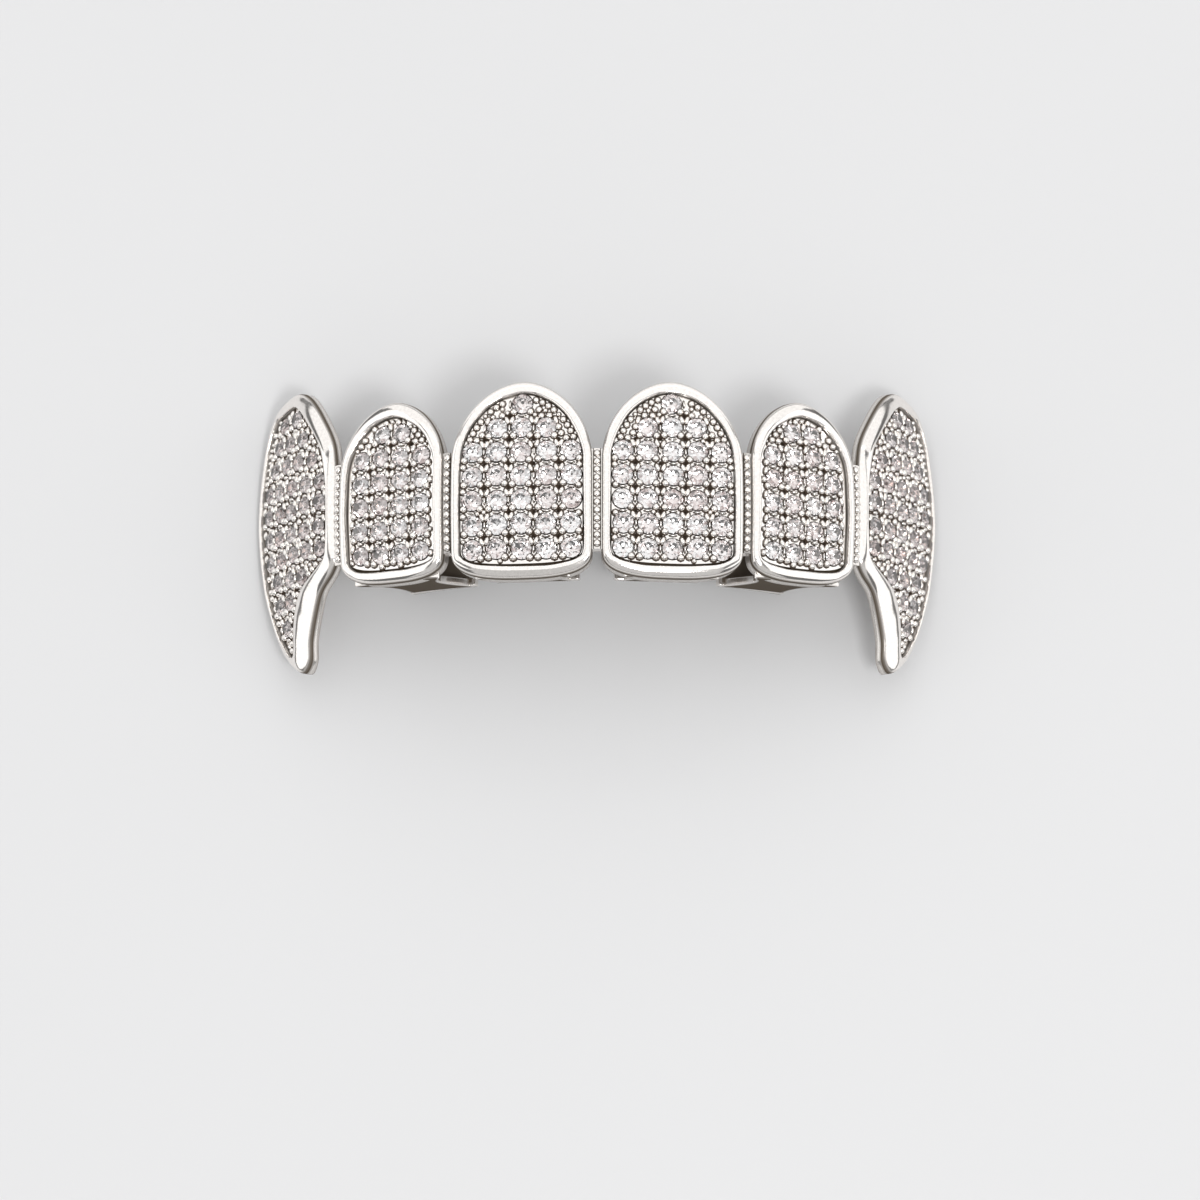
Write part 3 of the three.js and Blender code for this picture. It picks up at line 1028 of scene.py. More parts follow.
@dataclass(frozen=True)
class Gap:
    """The gap between two caps, with the teeth on both sides and the edges that face it."""

    name: str
    near: Tooth
    near_s: float
    far: Tooth
    far_s: float
    over_midline: bool = False

    def place(self, flat: Points) -> Points:
        """Put points of the gap in the arch.

        Args:
            flat: Rows of distance from the gap's middle, height and distance out.

        Returns:
            The points, one row each.
        """
        x, v, n = flat.T
        near, far = self._edges(v, n)
        across = far - near
        across /= np.linalg.norm(across, axis=1)[:, None]
        return (near + far) / 2 + across * x[:, None]

    def width(self, v: float, n: float) -> float:
        """Give the clear width of the gap at a place.

        Args:
            v: Height of the place.
            n: Its distance out of the face.

        Returns:
            The width.
        """
        near, far = self._edges(np.array((v,)), np.array((n,)))
        return float(np.linalg.norm(far - near))

    def _edges(self, v: Points, n: Points) -> tuple[Points, Points]:
        """Give the points of the two edges that face the gap.

        Args:
            v: Heights of the points.
            n: Their distances out of the faces.

        Returns:
            The points of the near edge, and of the far one.
        """
        near = self.near.face(np.column_stack((np.full_like(v, self.near_s), v, n)))
        far = self.far.face(np.column_stack((np.full_like(v, self.far_s), v, n)))
        if self.over_midline:
            near[:, 0] *= -1
        return near, far


@dataclass
class CastFrame:
    """The soldered white-metal frame: caps, beaded bridges, straps, lingual plates and band.

    A sweep says from where to where a rim's outward direction turns to the midline or the biting edge.
    """

    arch: Arch
    metals: tuple[bpy.types.Material, bpy.types.Material]
    section: CapSection = CapSection()
    half_count: int = 36
    smooth_angle: float = 38.0
    cut_waves: tuple[tuple[int, float], ...] = ((5, 0.022), (11, 0.018), (23, 0.014))
    crevice_sweep: tuple[float, float] = (0.5, 1.0)
    bite_crevice: float = 0.11
    mesial_sweep: tuple[float, float] = (0.0, 5 / 7)
    bite_sweep: tuple[float, float] = (0.25, 0.875)
    bite_roll: float = 0.35
    bridge_low: float = 1.7
    bridge_high: float = 7.85
    bridge_front: float = 0.03
    bridge_back: float = -0.85
    bridge_overlap: float = 0.12
    bridge_groove: float = 0.12
    bridge_crown: float = 0.62
    bridge_foot: float = 0.8
    # Painted shade on the bridge bar, at its crown, its grooves and its back: darkest behind.
    bridge_shade_paint: tuple[float, ...] = (0.1, 0.15, 0.15, 0.4)
    bridge_stations: int = 13
    bead_pitch: float = 0.5
    bridge_bead: RoundBead = RoundBead(radius=0.225, stretch=0.85, lift=0.03, collar=1.12)
    lingual_front: float = -6.3
    lingual_thickness: float = 0.55
    lingual_lean: float = 0.07
    lingual_high: float = 8.0
    plate_foot: float = 0.8
    plate_stations: int = 7
    plate_columns: int = 7
    edge_bevel: float = 0.09
    bevel_segments: int = 3
    band_low: float = 3.6
    band_high: float = 8.2
    band_thickness: float = 0.62
    band_reach: float = 1.6
    band_stations: int = 56
    band_steps: int = 40
    band_bevel: float = 0.1
    # Painted shade over the whole band behind the teeth.
    band_shade_paint: float = 0.55
    # Painted shade on the faces of the straps and lingual plates, between polished edges.
    inner_shade_paint: float = 0.96
    polished_edge: float = 0.2
    strap_thickness: float = 0.5
    strap_lift: float = 0.12
    strap_columns: int = 5
    strap_rows: tuple[tuple[float, float], ...] = (
        (-0.7, 5.8),
        (-1.2, 5.3),
        (-1.8, 4.5),
        (-2.5, 3.85),
        (-3.2, 3.5),
        (-4.1, 3.45),
        (-5.0, 3.6),
        (-6.0, 3.95),
        (-6.82, 4.3),
    )
    plate_width: dict[ToothName, float] = field(
        default_factory=lambda: {ToothName.CENTRAL: 5.2, ToothName.LATERAL: 4.7}
    )
    plate_low: dict[ToothName, float] = field(
        default_factory=lambda: {ToothName.CENTRAL: 1.2, ToothName.LATERAL: 1.05}
    )
    roll: dict[ToothName, float] = field(
        default_factory=lambda: {ToothName.CENTRAL: 0.0, ToothName.LATERAL: 0.45, ToothName.FANG: 1.0}
    )
    plate_skew: dict[ToothName, float] = field(
        default_factory=lambda: {ToothName.CENTRAL: 0.0, ToothName.LATERAL: 0.1}
    )

    def build(self) -> bpy.types.Object:
        """Model every part of the frame and join them.

        Returns:
            The frame, which stands for its solid.
        """
        pieces = []
        for tooth in self.arch.teeth.values():
            pieces += self._both_sides(self.cap(tooth), tooth.face)
        for name in (ToothName.CENTRAL, ToothName.LATERAL):
            tooth = self.arch.teeth[name]
            pieces += self._both_sides(self.lingual_plate(tooth), tooth.behind)
            pieces += self._both_sides(self.strap(tooth), tooth.behind)
        bead = self.bridge_bead.model()
        for gap in self.gaps():
            for flat in (self.bridge_bar(gap), self.bridge_beads(gap, bead)):
                if gap.over_midline:
                    pieces.append(Workbench.wrap(flat, self._to_side(gap.place, Side.RIGHT)))
                else:
                    pieces += self._both_sides(flat, gap.place)
        pieces.append(self.band())
        for piece in pieces:
            if not piece.data.materials:
                for metal in self.metals:
                    piece.data.materials.append(metal)
        frame = Workbench.join(pieces, "grill_frame")
        Workbench.smooth(frame, self.smooth_angle)
        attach(frame, BODY)
        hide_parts("cast_frame")
        return frame

    def cap(self, tooth: Tooth) -> bpy.types.Object:
        """Model one cap flat, from its recess over the rim to its hollow back.

        Args:
            tooth: The tooth that it covers.

        Returns:
            The flat cap.
        """
        name = tooth.row.name
        shapes = CAP_SHAPES[name]
        rim = shapes.ring("rim", self.half_count)
        out = outward(rim)
        hollow = shapes.ring("field", self.half_count)
        hollow = hollow + outward(hollow) * self._hand_cut(name, out)[:, None]
        roll = np.maximum(
            facing(out, 0, self.mesial_sweep) * self.roll[name],
            facing(out, 1, self.bite_sweep) * self.bite_roll,
        )
        rings = []
        shade_paints = []
        for across, height, shade_paint in self.section.rows(tooth.row.depth, roll):
            rings.append(np.column_stack((rim + (hollow - rim) * across[:, None], height)))
            shade_paints.append(shade_paint)
        cap = RingModel(f"cap_{name.value}", rings, shade_paints).close(self.section.ends_shade_paint)
        Workbench.modify(cap, "SUBSURF", levels=1, render_levels=1)
        return cap

    def _hand_cut(self, name: ToothName, out: Points) -> Points:
        """Give the uneven line of a recess that is cut by hand, wider along the biting edge.

        Args:
            name: The tooth.
            out: Directions out of the rim.

        Returns:
            How far the recess is cut out at each point.
        """
        turn = np.linspace(0, 2 * math.pi, len(out), endpoint=False)
        start = self.arch.teeth[name].row.width
        uneven = sum(size * np.sin(count * turn + start * count) for count, size in self.cut_waves)
        return uneven + self.bite_crevice * facing(out, 1, self.crevice_sweep)

    def gaps(self) -> list[Gap]:
        """List the gaps that hold bridges.

        Returns:
            The gaps on the midline and on the right-hand side.
        """
        central, lateral, fang = (self.arch.teeth[name] for name in ToothName)
        inner = CAP_SHAPES[ToothName.CENTRAL].rim
        outer = CAP_SHAPES[ToothName.LATERAL].rim
        fang_edge = min(row[1] for row in CAP_SHAPES[ToothName.FANG].rim.rows)
        return [
            Gap("midline", central, -inner.half_width, central, -inner.half_width, True),
            Gap("inner", central, inner.half_width, lateral, outer.middle - outer.half_width),
            Gap("outer", lateral, outer.middle + outer.half_width, fang, fang_edge),
        ]

    def bridge_bar(self, gap: Gap) -> bpy.types.Object:
        """Model the bar of a bridge flat, with a groove along each side, and painted shade that is darkest
        at its back.

        Args:
            gap: The gap that it fills.

        Returns:
            The flat bar.
        """
        middle_v = (self.bridge_low + self.bridge_high) / 2
        half = gap.width(middle_v, self.bridge_front) / 2
        wide = half + self.bridge_overlap
        groove = self.bridge_front - self.bridge_groove
        corners = (
            (half * self.bridge_crown, self.bridge_front),
            (half * self.bridge_foot, groove),
            (wide, groove),
            (wide, self.bridge_back),
        )
        right = np.column_stack((np.array(corners), self.bridge_shade_paint))
        s, n, shade_paint = np.vstack((right[::-1] * (-1, 1, 1), right)).T
        stations = np.linspace(self.bridge_high, self.bridge_low, self.bridge_stations)
        rings = [np.column_stack((s, np.full_like(s, v), n)) for v in stations]
        return RingModel(f"bridge_{gap.name}", rings, [shade_paint] * len(rings)).close()

    def bridge_beads(self, gap: Gap, bead: Pattern) -> bpy.types.Object:
        """Set a bridge's row of beads flat.

        Args:
            gap: The gap that it fills.
            bead: The bridge bead.

        Returns:
            The flat row.
        """
        count = int((self.bridge_high - self.bridge_low) / self.bead_pitch)
        first = (self.bridge_low + self.bridge_high - (count - 1) * self.bead_pitch) / 2
        places = [(0.0, first + number * self.bead_pitch, self.bridge_front) for number in range(count)]
        copies = [bead.points + place for place in places]
        return bead.set_at(f"bridge_beads_{gap.name}", copies, self.metals)

    def lingual_plate(self, tooth: Tooth) -> bpy.types.Object:
        """Model the plate behind an incisor, with softened edges.

        Args:
            tooth: The incisor.

        Returns:
            The flat plate.
        """
        name = tooth.row.name
        width = self.plate_width[name]
        places = edge_spaced(-width / 2, width / 2, self.plate_columns, self.polished_edge)
        low = self.plate_low[name]
        upper = np.linspace(low + self.plate_foot, self.lingual_high, self.plate_stations)
        rings = []
        shade_paints = []
        for v in (low, low + self.polished_edge, *upper):
            front = self._lingual_at(v) - self.plate_skew[name] * (places + width / 2)
            face = np.column_stack((places, np.full_like(places, v), front))
            rings.append(np.vstack((face, face[::-1] - (0, 0, self.lingual_thickness))))
            shade_paints.append(self._shade_paint_faces(rings[0]) * (v > low))
        plate = RingModel(f"lingual_plate_{name.value}", rings, shade_paints).close()
        return self._soften(plate, self.edge_bevel)

    def strap(self, tooth: Tooth) -> bpy.types.Object:
        """Model the waisted strap from a cap's biting edge back to its plate.

        Args:
            tooth: The incisor.

        Returns:
            The flat strap.
        """
        name = tooth.row.name
        start_low = CAP_SHAPES[name].rim.bottom + self.strap_lift
        end_low = self.plate_low[name]
        start, end = self.strap_rows[0][0], self.strap_rows[-1][0]
        rings = []
        for depth, width in self.strap_rows:
            low = start_low + (end_low - start_low) * (depth - start) / (end - start)
            places = edge_spaced(-width / 2, width / 2, self.strap_columns, self.polished_edge)
            below = np.column_stack((places, np.full_like(places, low), np.full_like(places, depth)))
            rings.append(np.vstack((below, below[::-1] + (0, self.strap_thickness, 0))))
        shade_paints = [self._shade_paint_faces(ring) for ring in rings]
        strap = RingModel(f"strap_{name.value}", rings, shade_paints).close()
        return self._soften(strap, self.edge_bevel)

    def band(self) -> bpy.types.Object:
        """Model the band behind the teeth in place, and cut its ends flat on the resting surface.

        Returns:
            The band.
        """
        middle_v = (self.band_low + self.band_high) / 2
        depth = self._lingual_at(middle_v) - self.lingual_thickness / 2
        route, out = self._band_route(depth)
        lean = self.lingual_lean * (self.band_high - self.band_low) / 2
        half = self.band_thickness / 2
        corners = (
            (self.band_low, half + lean),
            (self.band_high, half - lean),
            (self.band_high, -half - lean),
            (self.band_low, -half + lean),
        )
        rings = []
        for place, normal in zip(route, out):
            ring = np.array([place + normal * offset + (0, v, 0) for v, offset in corners])
            rings.append(self.arch.to_row(ring, Side.RIGHT))
        model = RingModel("lingual_band", rings, [self.band_shade_paint] * len(rings))
        band = model.close((self.band_shade_paint, self.band_shade_paint))
        bpy.ops.object.mode_set(mode="EDIT")
        bpy.ops.mesh.select_all(action="SELECT")
        bpy.ops.mesh.bisect(plane_co=(0, 0, 0), plane_no=(0, 0, 1), use_fill=True, clear_inner=True)
        bpy.ops.mesh.select_all(action="SELECT")
        bpy.ops.mesh.normals_make_consistent(inside=False)
        bpy.ops.object.mode_set(mode="OBJECT")
        self._soften(band, self.band_bevel * MM)
        return Workbench.wrap(band, lambda points: np.maximum(points, (-math.inf, -math.inf, 0.0)))

    def _band_route(self, depth: float) -> tuple[Points, Points]:
        """Lay out the band from one fang to the other.

        Args:
            depth: Distance of its middle line out of the teeth's faces.

        Returns:
            Points of the middle line, and the outward direction at each.
        """
        central, lateral, fang = (self.arch.teeth[name] for name in ToothName)
        knots = []
        for tooth, s in ((central, 0.0), (lateral, 0.0), (fang, 0.0), (fang, self.band_reach)):
            skew = self.plate_skew.get(tooth.row.name, 0.0) * self.plate_width.get(tooth.row.name, 0.0) / 2
            knots.append(tooth.behind(np.array(((s, 0.0, depth - skew),)))[0])
        half = np.array(knots)
        whole = np.vstack((half[::-1] * (-1, 1, 1), half))
        line = centripetal(whole, self.band_steps)
        along = run_along(line)
        route = points_at(line, along, np.linspace(0, along[-1], self.band_stations + 1))
        tangent = np.gradient(route, axis=0)
        out = np.column_stack((-tangent[:, 2], np.zeros(len(route)), tangent[:, 0]))
        return route, out / np.linalg.norm(out, axis=1)[:, None]

    def _shade_paint_faces(self, ring: Points) -> Points:
        """Give the painted shade round a flat section.

        Args:
            ring: The section, one face and then the other.

        Returns:
            The painted shade at each point: dark between polished edges.
        """
        face = np.full(len(ring) // 2, self.inner_shade_paint)
        face[[0, -1]] = 0.0
        return np.concatenate((face, face))

    def _soften(self, piece: bpy.types.Object, width: float) -> bpy.types.Object:
        """Bevel a piece's edges by a width."""
        Workbench.modify(piece, "BEVEL", width=width, segments=self.bevel_segments, limit_method="ANGLE")
        return piece

    def _lingual_at(self, v: float) -> float:
        """Give the distance out of the plates' front faces at a height."""
        return self.lingual_front - self.lingual_lean * v

    def _to_side(self, mapping: Mapping, side: Side) -> Mapping:
        """Chain a mapping into the arch with its place in the solids' frame."""
        return lambda flat: self.arch.to_row(mapping(flat), side)

    def _both_sides(self, flat: bpy.types.Object, mapping: Mapping) -> list[bpy.types.Object]:
        """Wrap a flat piece on the right-hand side, and a copy of it on the left.

        Args:
            flat: The flat piece.
            mapping: Where its points go in the arch.

        Returns:
            Both pieces.
        """
        twin = Workbench.copy(flat, f"{flat.name}_left")
        return [
            Workbench.wrap(flat, self._to_side(mapping, Side.RIGHT)),
            Workbench.wrap(twin, self._to_side(mapping, Side.LEFT), Side.LEFT),
        ]


def outward(ring: Points) -> Points:
    """Give the directions out of a ring.

    Args:
        ring: Points of the ring, down its mesial half first.

    Returns:
        The direction at each point.
    """
    along = np.roll(ring, -1, axis=0) - np.roll(ring, 1, axis=0)
    along /= np.linalg.norm(along, axis=1)[:, None]
    return np.column_stack((along[:, 1], -along[:, 0]))


def facing(out: Points, axis: int, sweep: tuple[float, float]) -> Points:
    """Tell how far each outward direction turns down an axis: 0 where a sweep starts, 1 where it ends."""
    return np.interp(-out[:, axis], sweep, (0.0, 1.0))


def edge_spaced(start: float, end: float, count: int, edge: float) -> Points:
    """Space places evenly from start to end, with one more close to each end.

    Args:
        start: First place.
        end: Last place.
        count: Number of even places between the ends.
        edge: Distance of the added places from the ends.

    Returns:
        The places in order.
    """
    return np.concatenate(([start], np.linspace(start + edge, end - edge, count), [end]))


def centripetal(knots: Points, steps: int) -> Points:
    """Draw a smooth line through knots, without loops where they are unevenly spaced.

    Args:
        knots: Points that the line passes through.
        steps: Points on each span.

    Returns:
        Points of the line.
    """
    ends = np.vstack((2 * knots[0] - knots[1], knots, 2 * knots[-1] - knots[-2]))
    spans = []
    for p0, p1, p2, p3 in zip(ends[:-3], ends[1:-2], ends[2:-1], ends[3:]):
        t = [0.0]
        for a, b in ((p0, p1), (p1, p2), (p2, p3)):
            t.append(t[-1] + math.sqrt(np.linalg.norm(b - a)))
        at = np.linspace(t[1], t[2], steps, endpoint=False)[:, None]
        a1 = (t[1] - at) / (t[1] - t[0]) * p0 + (at - t[0]) / (t[1] - t[0]) * p1
        a2 = (t[2] - at) / (t[2] - t[1]) * p1 + (at - t[1]) / (t[2] - t[1]) * p2
        a3 = (t[3] - at) / (t[3] - t[2]) * p2 + (at - t[2]) / (t[3] - t[2]) * p3
        b1 = (t[2] - at) / (t[2] - t[0]) * a1 + (at - t[0]) / (t[2] - t[0]) * a2
        b2 = (t[3] - at) / (t[3] - t[1]) * a2 + (at - t[1]) / (t[3] - t[1]) * a3
        spans.append((t[2] - at) / (t[2] - t[1]) * b1 + (at - t[1]) / (t[2] - t[1]) * b2)
    return np.vstack((*spans, knots[-1:]))


# The stone fields


@dataclass(frozen=True)
class StoneRows:
    """Level rows of stones, counted from the biting edge, how unevenly they stand, and their blush."""

    radius: float
    painted_shade_seats: bool
    first_v: float
    pitch_v: float
    pitch_s: float
    counts: tuple[int, ...]
    uneven: float
    blush: float


# The second column tells whether the seats carry painted shade round the stones.
STONE_ROWS = {
    ToothName.CENTRAL: StoneRows(0.62, True, 1.8, 1.49, 1.5, (5, 5, 5, 5, 5, 3, 1), 0.03, 0.0),
    ToothName.LATERAL: StoneRows(0.555, False, 1.97, 1.48, 1.36, (4, 4, 4, 4, 4, 2), 0.04, 0.04),
    ToothName.FANG: StoneRows(0.515, False, -1.35, 1.42, 1.37, (1, 2, 3, 5, 5, 5, 5, 4, 3, 2), 0.09, 0.13),
}


class Field:
    """The plan of one stone field: where stones and beads fit in it."""

    HALF_COUNT = 40
    SEAT_LAND = 0.09

    def __init__(self, name: ToothName, edge_gap: float) -> None:
        """Take a tooth's field, drawn in by the gap round its plate.

        Args:
            name: The tooth.
            edge_gap: Gap between the plate and the rim.
        """
        self.rows = STONE_ROWS[name]
        self.outline = CAP_SHAPES[name].ring("field", self.HALF_COUNT)
        self.inward = -outward(self.outline)
        self.edge = self.outline + self.inward * edge_gap
        self.stones = self._stones(np.random.default_rng(len(name.value)))

    def _stones(self, chance: np.random.Generator) -> Points:
        """Lay out the stones, row by row.

        Args:
            chance: Source of their unevenness.

        Returns:
            Their places in s and v.
        """
        places = []
        for number, count in enumerate(self.rows.counts):
            v = self.rows.first_v + number * self.rows.pitch_v
            first = self._middle(v) - (count - 1) * self.rows.pitch_s / 2
            places += [(first + column * self.rows.pitch_s, v) for column in range(count)]
        most = min(self.rows.pitch_s, self.rows.pitch_v) / 2 - self.rows.radius - self.SEAT_LAND
        return np.array(places) + chance.normal(0, self.rows.uneven, (len(places), 2)).clip(-most, most)

    def along_edge(self, inset: float, spacing: float) -> Points:
        """Give places along the edge.

        Args:
            inset: How far they are drawn in.
            spacing: Distance between them.

        Returns:
            The places in s and v.
        """
        line = self.edge + self.inward * inset
        line = np.vstack((line, line[:1]))
        along = run_along(line)
        return points_at(line, along, np.linspace(0, along[-1], int(along[-1] / spacing), endpoint=False))

    def grid(self, step: float) -> Points:
        """Give a fine grid of places over the whole field.

        Args:
            step: Distance between them.

        Returns:
            The places in s and v.
        """
        low, high = self.outline.min(axis=0), self.outline.max(axis=0)
        v, s = np.mgrid[low[1] : high[1] : step, low[0] : high[0] : step]
        return np.column_stack((s.ravel(), v.ravel()))

    def inside(self, places: Points, margin: float) -> Points:
        """Tell which places lie inside the edge by a margin.

        Args:
            places: Places in s and v.
            margin: The least distance from the edge.

        Returns:
            True or False for each place.
        """
        a = self.edge
        b = np.roll(a, -1, axis=0)
        run = b - a
        kept = np.zeros(len(places), dtype=bool)
        for number, place in enumerate(places):
            over = (a[:, 1] > place[1]) != (b[:, 1] > place[1])
            rise = np.where(over, run[:, 1], 1.0)
            crossing = a[:, 0] + (place[1] - a[:, 1]) / rise * run[:, 0]
            share = np.clip(((place - a) * run).sum(axis=1) / (run * run).sum(axis=1), 0, 1)
            away = np.linalg.norm(a + share[:, None] * run - place, axis=1).min()
            kept[number] = np.count_nonzero(over & (crossing > place[0])) % 2 == 1 and away >= margin
        return kept

    def _middle(self, v: float) -> float:
        """Give the middle of the field at a height.

        Args:
            v: The height.

        Returns:
            Its place across the tooth.
        """
        a = self.outline
        b = np.roll(a, -1, axis=0)
        over = (a[:, 1] > v) != (b[:, 1] > v)
        crossings = a[over, 0] + (v - a[over, 1]) / (b[over, 1] - a[over, 1]) * (b[over, 0] - a[over, 0])
        return float((crossings.min() + crossings.max()) / 2)


def turned(points: Points, angle: float) -> Points:
    """Turn flat work about its own middle by an angle in radians."""
    cos, sin = math.cos(angle), math.sin(angle)
    return points @ np.array(((cos, sin, 0), (-sin, cos, 0), (0, 0, 1)))


def nearest(others: Points, place: Points) -> float:
    """Give the distance in s and v from a place to the nearest of others."""
    return min(np.linalg.norm(others[:, :2] - place[:2], axis=1), default=math.inf)


@dataclass(frozen=True)
class BeadRound:
    """How far one round of beads keeps from the stones and from other beads, and the beads' size."""

    clear: float
    spacing: float
    share: float = 1.0


@dataclass
class PaveField:
    """The setting and the stones of one tooth."""

    arch: Arch
    name: ToothName
    side: Side
    metals: tuple[bpy.types.Material, bpy.types.Material]
    stone: bpy.types.Material
    edge_gap: float = 0.06
    plate_back: float = -0.455
    plate_front: float = -0.04
    seat_floor: float = -0.45
    seat_clearance: float = 0.03
    drill_mouth: tuple[float, float] = (0.03, 0.05)
    drill_past: float = 0.5
    drill_sides: int = 16
    stone_girdle: float = 0.05
    stone_tilt: float = 4.0
    tint_most: float = 0.28
    tint_spread: tuple[float, float] = (1.2, 2.2)
    # Share of crown facets with painted dark reflections, and how dark they are painted.
    painted_reflection_share: float = 0.3
    painted_reflection_range: tuple[float, float] = (0.3, 0.9)
    seed_step: int = 7
    prong: RoundBead = RoundBead(radius=0.225, stretch=1.0, lift=0.05, sink=0.15)
    prong_round: BeadRound = BeadRound(clear=0.0, spacing=0.27)
    between_round: BeadRound = BeadRound(clear=0.06, spacing=0.3)
    loose_rounds: tuple[BeadRound, ...] = (
        BeadRound(clear=0.13, spacing=0.41, share=0.92),
        BeadRound(clear=0.12, spacing=0.34, share=0.66),
    )
    bead_margin: float = 0.1575
    edge_pitch: float = 0.4275
    grid_step: float = 0.08
    drop_spread: float = 1.18
    drop_rise: float = 0.94
    drop_shape: tuple[float, float] = (0.72, 1.25)
    drop_lean: float = 18.0
    between_share: float = 0.62
    pit_radius: float = 0.12
    pit_floor: float = -0.2
    pit_clear: float = 0.29
    pit_margin: float = 0.45
    pit_bead_clear: float = 0.2025
    pit_spacing: float = 0.3
    smooth_angle: float = 50.0

    def build(self, bead: Pattern, stone: Pattern) -> list[bpy.types.Object]:
        """Set one tooth's plate, beads and stones.

        Args:
            bead: The prong bead.
            stone: The cut stone.

        Returns:
            The setting and the stones, which stand for the field's solid.
        """
        plan = Field(self.name, self.edge_gap)
        label = f"{self.name.value}_{self.side.name.lower()}"
        setting = self._setting(plan, bead, label)
        stones = self._stones(plan, stone, label)
        for piece in (setting, stones):
            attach(piece, BODY)
            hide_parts(f"pave_{label}")
        return [setting, stones]

    def bead_places(self, plan: Field) -> Points:
        """Find where beads stand: round the stones first, then along the edge and in the room left.

        Args:
            plan: The plan of the field.

        Returns:
            Rows of s, v, the bead's width and length as shares of its own, and its turn in degrees.
        """
        pitch = np.array((plan.rows.pitch_s, plan.rows.pitch_v))
        reach = pitch / 3
        round_stone = []
        for sign in (-1, 1):
            drop = (sign * reach[0] * self.drop_spread, self.drop_rise * reach[1])
            round_stone.append((sign * reach[0], -reach[1], 1.0, 1.0, 0.0))
            round_stone.append((*drop, *self.drop_shape, sign * self.drop_lean))
        thin = self.between_share * (pitch / 2 - plan.rows.radius) / self.prong.radius
        between = ((0.0, -pitch[1] / 2, 1.0, thin[1], 0.0), (pitch[0] / 2, 0.0, thin[0], 1.0, 0.0))
        wanted = [
            (self._beside(plan.stones, round_stone), self.prong_round),
            (self._beside(plan.stones, between), self.between_round),
        ]
        loose = np.vstack((plan.along_edge(self.prong.radius, self.edge_pitch), plan.grid(self.grid_step)))
        for rule in self.loose_rounds:
            wanted.append((self._beside(loose, ((0.0, 0.0, rule.share, rule.share, 0.0),)), rule))
        chosen = np.empty((0, 5))
        for places, rule in wanted:
            clear = plan.rows.radius + rule.clear
            for place in places[plan.inside(places[:, :2], self.bead_margin)]:
                if nearest(plan.stones, place) >= clear and nearest(chosen, place) >= rule.spacing:
                    chosen = np.vstack((chosen, place))
        return chosen

    @staticmethod
    def _beside(places: Points, beads: Sequence[Sequence[float]]) -> Points:
        """Put beads beside each place."""
        rows = np.column_stack((places, np.zeros((len(places), 3))))
        return np.vstack([rows + np.array(bead) for bead in beads])

    def _pits(self, plan: Field, beads: Points) -> Points:
        """Find the pits left between four beads, which are drilled and given painted shade.

        Args:
            plan: The plan of the field.
            beads: Rows that start with the beads' places.

        Returns:
            The pits' places in s and v.
        """
        half = np.array((plan.rows.pitch_s, plan.rows.pitch_v)) / 2
        corners = np.vstack([plan.stones + half * (sign, -1) for sign in (-1, 1)])
        chosen = np.empty((0, 2))
        for place in corners[plan.inside(corners, self.pit_margin)]:
            clear = nearest(beads, place) > self.pit_bead_clear
            clear &= nearest(plan.stones, place) > plan.rows.radius + self.pit_clear
            clear &= nearest(chosen, place) > self.pit_spacing
            if clear:
                chosen = np.vstack((chosen, place))
        return chosen

    def _drills(self, places: Points, radius: float, floor: float, slot: int) -> bpy.types.Object:
        """Model a drill with a chamfered mouth once, and set it at each place.

        Args:
            places: Where holes go.
            radius: Radius of the holes.
            floor: Height of their floors.
            slot: Slot of the finish inside them.

        Returns:
            All drills in one object.
        """
        turn = np.linspace(0, 2 * math.pi, self.drill_sides, endpoint=False)
        circle = np.column_stack((np.cos(turn), np.sin(turn), np.zeros_like(turn)))
        wide, deep = self.drill_mouth
        profile = (
            (radius, floor),
            (radius, self.plate_front - deep),
            (radius + (1 + self.drill_past) * wide, self.plate_front + self.drill_past * deep),
        )
        rings = [circle * reach + (0.0, 0.0, height) for reach, height in profile]
        drill = RingModel("drill", rings, [0.0] * len(rings)).close()
        for face in drill.data.polygons:
            face.material_index = slot
        pattern = Pattern.taken_from(drill)
        return pattern.set_at("drills", [pattern.points + (*place, 0.0) for place in places], self.metals)

    def _plate(self, plan: Field, beads: Points, label: str) -> bpy.types.Object:
        """Model the setting plate flat, and drill the stones' seats and the pits between beads.

        Args:
            plan: The plan of the field.
            beads: Rows that start with the beads' places.
            label: The field's part of the name.

        Returns:
            The flat plate.
        """
        heights = (self.plate_back, self.plate_front)
        rings = [np.column_stack((plan.edge, np.full(len(plan.edge), height))) for height in heights]
        plate = RingModel(f"plate_{label}", rings, [0.0] * len(rings)).close()
        for metal in self.metals:
            plate.data.materials.append(metal)
        seat_radius = plan.rows.radius + self.seat_clearance
        # Seats of rows that ask for it, and all pits, take slot 1, the painted recess shade.
        seats = self._drills(plan.stones, seat_radius, self.seat_floor, int(plan.rows.painted_shade_seats))
        pits = self._drills(self._pits(plan, beads), self.pit_radius, self.pit_floor, 1)
        drills = Workbench.join([seats, pits], "drills")
        Workbench.modify(plate, "BOOLEAN", operation="DIFFERENCE", solver="EXACT", object=drills)
        bpy.data.objects.remove(drills)
        bpy.ops.object.mode_set(mode="EDIT")
        bpy.ops.mesh.select_all(action="SELECT")
        bpy.ops.mesh.quads_convert_to_tris(quad_method="BEAUTY", ngon_method="BEAUTY")
        bpy.ops.object.mode_set(mode="OBJECT")
        return plate

